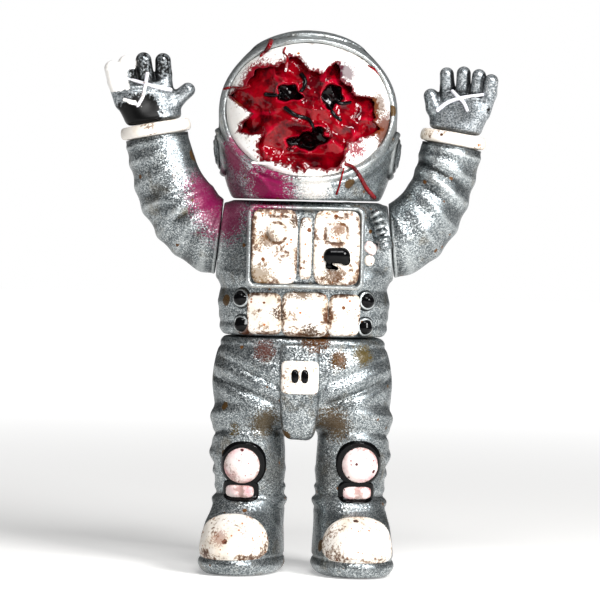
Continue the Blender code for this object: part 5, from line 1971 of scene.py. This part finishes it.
@dataclass
class Arm(Bench):
    """A sleeve, a cuff and a glove, cast in one piece."""

    side: Side
    rise: float = 24.0
    first_pull: float = 10.0
    last_pull: float = 12.0
    cuff_length: float = 3.2
    palm_length: float = 9.4
    fingers: tuple[Finger, ...] = (
        Finger("index", -3.9, 7.6, -4.0),
        Finger("middle", 0.3, 8.6, 1.0),
        Finger("ring", 4.2, 8.6, 5.0),
        Finger("little", 7.4, 7.8, 9.0),
    )

    @property
    def body(self) -> Body:
        """The arm's own body."""
        return ARM_BODY[self.side]

    def __post_init__(self) -> None:
        """Works out the wrist's and the hand's directions."""
        self.form = ARM_FORMS[self.side]
        s, lean = self.side.value, math.radians(self.form.lean)
        self.up = np.array([s * math.sin(lean), 0.0, math.cos(lean)])
        level = np.array([s * math.cos(lean), 0.0, -math.sin(lean)])
        turn = -s * math.radians(self.form.hand_turn)
        forward = np.array([0.0, -1.0, 0.0])
        self.across, self.forward = (
            way * math.cos(turn) + np.cross(self.up, way) * math.sin(turn) for way in (
                level, forward
            )
        )
        self.wrist = np.array(self.form.wrist)
        self.cuff_foot = self.wrist + 0.3 * self.up
        self.glove_foot = self.cuff_foot + (self.cuff_length + 0.3) * self.up

    def build_sleeve(self) -> None:
        """The sleeve: rings along a curve from the seam to the wrist, swollen by its folds."""
        seam, out = self.stand.seam(self.side)
        start = seam + out * SEAM_GAP
        rise = math.radians(self.rise)
        leaving = np.array([self.side.value * math.cos(rise), 0.0, math.sin(rise)])
        knots = [
            start,
            start + leaving * self.first_pull,
            self.wrist - self.up * self.last_pull,
            self.wrist,
        ]
        rows, columns = 190, 150
        t = np.linspace(0, 1, rows)[:, None]
        s = 1 - t
        line = s**3 * knots[0] + 3 * s * s * t * knots[1] + 3 * s * t * t * knots[2]
        line = line + t**3 * knots[3]
        steps = np.diff(knots, axis=0)
        pull = s * s * steps[0] + 2 * s * t * steps[1] + t * t * steps[2]
        along = pull / np.linalg.norm(pull, axis=1, keepdims=True)
        near = 1 - ease(t, 0.0, 0.16)
        along = along * (1 - near) + out * near
        along /= np.linalg.norm(along, axis=1, keepdims=True)
        travelled = np.concatenate([[0], np.cumsum(np.linalg.norm(np.diff(line, axis=0), axis=1))])
        radius = glide(t[:, 0], np.linspace(0, 1, len(self.form.radii)), self.form.radii)
        y = np.array([0.0, 1.0, 0.0])
        v = np.cross(along, y)
        angle = 2 * math.pi * np.arange(columns) / columns
        outer = -self.side.value * np.sign(v[:, 0].mean())
        u_part, v_part = -np.sin(angle), -outer * np.cos(angle)
        hush = ease(travelled, 0.6, 2.6) * ease(travelled[-1] - travelled, 0.5, 2.0)
        swell = folds_height(self.form.folds, travelled[:, None], angle[None, :]) * hush[:, None]
        circle = u_part[None, :, None] * y + v_part[None, :, None] * v[:, None]
        plain = line[:, None] + radius[:, None, None] * circle
        uneven = 0.16 * ripple(plain.reshape(-1, 3), 12.0, 61 + self.side.value).reshape(
            rows, columns
        )
        size = radius[:, None] + swell + uneven * hush[:, None]
        grid = line[:, None] + size[..., None] * circle
        soft = np.maximum(travelled, 0)[:, None]
        lip = 0.5 * (1 - np.sqrt(np.clip(1 - (1 - np.clip(soft / 0.5, 0, 1)) ** 2, 0, 1)))
        grid = grid - lip[..., None] * (grid - line[:, None]) / size[..., None]
        short = np.maximum(SEAM_GAP - (grid - seam) @ out, 0.0)
        grid = grid + short[..., None] * out
        # painted shade in the valleys between the folds and a painted highlight on their crests, as
        # cavity and ridge
        mean = np.mean([np.roll(size, k, 0) for k in (-5, 5)], axis=0)
        paint = {
            "cavity": np.clip((mean - size) * 2.4, 0, 1),
            "ridge": np.clip((size - mean) * 2.0, 0, 1),
        }
        # painted shade at the shoulder seam and under the cuff
        paint["cavity"][:6] = 0.3
        paint["cavity"][-5:] = 0.4
        shape = poled(grid, line[0], line[-1], paint)
        word = self.side.word
        self.hang(f"{word}_sleeve", shape, "silver", f"{word}_sleeve")

    def build_cuff(self) -> None:
        """The cuff: a thick rolled band of white vinyl."""
        r, length = self.form.cuff_radius, self.cuff_length
        profile = (
            (0.1, 0.0), (r - 1.2, 0.0), (r - 0.2, 0.35), (r + 0.05, 1.2), (r, 2.1), (
                r - 0.5, length - 0.15
            ),
            (r - 1.6, length), (0.1, length),
        )
        made = turned(self.cuff_foot, self.up, profile)
        spots = ripple(made.points, 3.0, 71)
        made.paint["cavity"] = np.clip(0.45 * (spots - 0.5), 0, 1)
        word = self.side.word
        self.hang(f"{word}_cuff", made, "cuff", f"{word}_cuff")

    def place(self, across: float, up: float, forward: float = 0.0) -> Array:
        """A point of the hand, from the glove's foot, at the hand's own size."""
        size = self.form.hand_size
        return self.glove_foot + size * (
            across * self.across + up * self.up + forward * self.forward
        )

    def hand(self, points: Array) -> Array:
        """The glove: a flattened palm, four curled fingers and a thumb, flowing into each other."""
        size = self.form.hand_size
        local = (points - self.glove_foot) / size
        a, h, f = local @ self.across, local @ self.up, local @ self.forward
        heights = (0.0, 2.4, 6.4, 9.8)
        wide = glide(h, heights, (7.2, 7.5, 7.7, 7.3))
        deep = glide(h, heights, (5.9, 5.2, 4.1, 2.9))
        mid_a = glide(h, heights, (0.0, 0.4, 1.4, 1.9))
        mid_f = glide(h, heights, (0.0, 0.2, 0.4, 0.6))
        share = oval(a - mid_a, f - mid_f, wide, deep, 2.2)
        reach = np.hypot(a - mid_a, f - mid_f) + 1e-6
        hollow = 0.9 * bump(np.hypot((a - 1.4) / 3.6, (h - 5.2) / 3.4), 0.0, 1.0) * ease(
            f, 0.0, 2.0
        )
        crease = 0.35 * bump(h, 8.3 + 0.12 * a, 0.5) * ease(f, 0.5, 2.5)
        side = reach - reach / np.maximum(share, 1e-3)
        whole = cut(side, np.maximum(-h, h - 10.4), 1.4) + hollow + crease
        for finger in self.fingers:
            lean = math.radians(finger.lean)
            ray = math.sin(lean) * self.across + math.cos(lean) * self.up
            base = self.place(finger.across, self.palm_length - 3, 0.3)
            knuckle = base + size * (0.5 * finger.length + 1.6) * ray
            tip = knuckle + size * 0.5 * finger.length * (0.9 * ray + 0.42 * self.forward)
            r = self.form.finger_radius * size
            bone = join(
                rod_field(points, base, knuckle, r * 1.02, r),
                rod_field(points, knuckle, tip, r * 1.02, r * 0.96),
                0.5,
            )
            whole = join(whole, bone / size, 0.7)
        root, mid, tip = (self.place(*spot) for spot in self.form.thumb)
        r = self.form.thumb_radius * size
        thumb = join(
            rod_field(points, root, mid, r * 1.15, r), rod_field(points, mid, tip, r, r * 0.9), 0.6
        )
        return join(whole, thumb / size, 1.3) * size

    def build_glove(self) -> None:
        """The glove, with black brushed into the palm and white over the fingers."""
        low, high = self.stand.box(f"{self.side.word}_glove")
        made = level_surface(self.hand, low - 2.2, high + 2.2, 0.27)
        flat = made.points @ np.array([self.across, self.up, self.forward]).T
        origin = np.array([self.glove_foot @ d for d in (self.across, self.up, self.forward)])
        a, h, f = ((flat - origin) / self.form.hand_size).T
        front = ease(f, -1.0, 1.2)
        if self.side is Side.RIGHT:
            palm = 1.2 * bump(np.hypot((a - 4.0) / 6.0, (h - 3.0) / 5.2), 0.0, 1.0)
            back = ease(h, 9.0, 12.0) * 0.5 * (a < 5)
            made.paint["black"] = np.clip((palm + back) * front, 0, 1)
            clump = ease(a, 4.4, 6.2) * ease(h, 8.4, 10.2) + ease(a, 1.5, 3.5) * ease(h, 13.6, 15.0)
            slant = h - 6.0 - 0.5 * (a - 5.6)
            splash = bump(np.hypot((a - 5.6) / 2.6, slant / 0.8), 0.0, 1.0) * front
            made.paint["white"] = np.clip(clump + splash, 0, 1)
        else:
            made.paint["black"] = np.clip(0.62 * bump(f, 1.2, 1.2) * bump(h, 7.5, 1.6), 0, 1)
            made.paint["white"] = np.clip(0.3 * ease(a, 5.5, 7.5) * ease(h, 9.5, 12.0), 0, 1)
        word = self.side.word
        self.hang(f"{word}_glove", made, "glove", f"{word}_glove")

    def build_strings(self) -> None:
        """Two strings of thick white paint that cross over the palm."""
        for number, spots in enumerate(self.string_spots(), 1):
            places = np.array([self.place(a, h, 0.0) for a, h in spots])
            landed = land(self.hand, places, self.forward, 14.0) + 0.1 * self.forward
            tube = Tube(landed, 0.55, 0.42, steps=70, columns=12)
            name = f"{self.side.word}_palm_string_{number}"
            self.hang(name, tube.shape(), "string")

    def string_spots(self) -> tuple[tuple[tuple[float, float], ...], ...]:
        """(across, height) places that the strings run through."""
        rising = ((-5.6, 7.4), (-3.0, 8.2), (0.2, 9.6), (3.4, 11.2), (6.2, 12.6))
        falling = ((0.0, 13.0), (0.6, 11.2), (1.4, 9.2), (2.4, 6.8), (4.4, 4.4))
        low = ((-4.8, 4.6), (-2.2, 7.4), (1.6, 9.4), (5.0, 10.6), (7.6, 11.4))
        high = ((-2.4, 11.0), (0.4, 9.6), (2.6, 8.2), (4.4, 6.0))
        return (rising, falling) if self.side is Side.RIGHT else (low, high)

    def build(self) -> None:
        """Makes the arm's pieces."""
        self.build_sleeve()
        self.build_cuff()
        self.build_glove()
        self.build_strings()


# ---------------------------------------------------------------- studio


@dataclass
class Studio:
    """A pale floor and sky, a broad key light from the upper right, and the camera."""

    floor_size: float = 6.0
    glow_from: float = 0.12
    glow_full: float = 0.8
    aim: tuple[float, float, float] = (-1.0, 0.0, 70.2)
    eye: tuple[float, float, float] = (-1.0, -1000.0, 95.0)
    lens: float = 231.5
    roll: float = 1.3
    ambient: float = 0.09

    def build_floor(self) -> None:
        """A plain pale floor at the figure's feet."""
        mesh = bpy.data.meshes.new("floor")
        s = self.floor_size / 2
        mesh.from_pydata([(-s, -s, 0), (s, -s, 0), (s, s, 0), (-s, s, 0)], [], [(0, 1, 2, 3)])
        material = bpy.data.materials.new("pale_floor_paper")
        material.use_nodes = True
        tree = material.node_tree
        tree.nodes.clear()
        place = add_node(tree, "ShaderNodeTexCoord").outputs["Object"]
        away = add_node(tree, "ShaderNodeVectorMath", links={0: place}, operation="LENGTH").outputs[
            "Value"
        ]
        glow = add_node(
            tree,
            "ShaderNodeMapRange",
            {"From Min": self.glow_from, "From Max": self.glow_full, "To Min": 0.3, "To Max": 0.95},
            {"Value": away},
        )
        shader = add_node(
            tree,
            "ShaderNodeBsdfPrincipled",
            {
                "Base Color": linear("#f4f3f1"),
                "Roughness": 0.9,
                "Emission Color": linear("#ffffff"),
            },
            {"Emission Strength": glow.outputs["Result"]},
        )
        add_node(tree, "ShaderNodeOutputMaterial", links={"Surface": shader.outputs[0]})
        mesh.materials.append(material)
        floor = bpy.data.objects.new("floor", mesh)
        floor.location.z = -0.0002
        bpy.context.scene.collection.objects.link(floor)

    def build_sky(self) -> None:
        """An even pale surround."""
        world = bpy.data.worlds.new("pale_surround")
        world.use_nodes = True
        tree = world.node_tree
        tree.nodes.clear()
        seen = add_node(tree, "ShaderNodeLightPath").outputs["Is Camera Ray"]
        strength = add_node(
            tree, "ShaderNodeMapRange", {"To Min": self.ambient, "To Max": 1.0}, {"Value": seen}
        )
        sky = add_node(
            tree,
            "ShaderNodeBackground",
            {"Color": linear("#ffffff")},
            {"Strength": strength.outputs["Result"]},
        )
        add_node(tree, "ShaderNodeOutputWorld", links={"Surface": sky.outputs[0]})
        bpy.context.scene.world = world

    def add_light(
        self, name: str, place: Sequence[float], aim: Sequence[float], size: float, power: float
    ) -> None:
        """Adds one square softbox.

        Args:
            name: the light's name.
            place: where it hangs, in millimetres.
            aim: what it points at, in millimetres.
            size: its width in metres.
            power: its power in watts.
        """
        lamp = bpy.data.lights.new(name, "AREA")
        lamp.size = size
        lamp.energy = power
        light = bpy.data.objects.new(name, lamp)
        light.location = Vector(place) * MM
        way = (Vector(aim) - Vector(place)).normalized()
        light.rotation_euler = way.to_track_quat("-Z", "Y").to_euler()
        bpy.context.scene.collection.objects.link(light)

    def build_camera(self, stand: Stand) -> None:
        """The camera, a little above the chest, rolled so that the figure leans the way it does."""
        eye, aim = (Vector(stand.metres(p)) for p in (self.eye, self.aim))
        data = bpy.data.cameras.new("camera")
        data.lens = self.lens
        data.sensor_width = 36.0
        data.clip_start = 0.01
        data.clip_end = 20.0
        camera = bpy.data.objects.new("camera", data)
        roll = Matrix.Rotation(math.radians(self.roll), 3, "Z")
        turn = (aim - eye).to_track_quat("-Z", "Y").to_matrix() @ roll
        camera.matrix_world = Matrix.Translation(eye) @ turn.to_4x4()
        bpy.context.scene.collection.objects.link(camera)
        bpy.context.scene.camera = camera

    def build(self, stand: Stand) -> None:
        """Sets up everything round the figure."""
        self.build_floor()
        self.build_sky()
        self.add_light("key", (250, -340, 250), (0, 0, 80), 0.14, 2.5)
        self.add_light("front", (40, -330, 420), (0, 0, 70), 0.16, 1.2)
        self.add_light("top", (0, 60, 480), (0, 0, 0), 0.5, 0.35)
        self.build_camera(stand)
        view = bpy.context.scene.view_settings
        view.view_transform = "Standard"
        view.exposure = 0.0


def main() -> None:
    """Builds the looks of every body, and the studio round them."""
    logging.basicConfig(level=logging.INFO, format="%(message)s")
    stand = Stand(frame)
    paints = PaintShelf(stand)
    paints.mix()
    LowerBody(stand, paints).build()
    Torso(stand, paints).build()
    Head(stand, paints).build()
    for side in Side:
        Arm(stand, paints, side).build()
    Studio().build(stand)


if __name__ == "__main__":
    main()
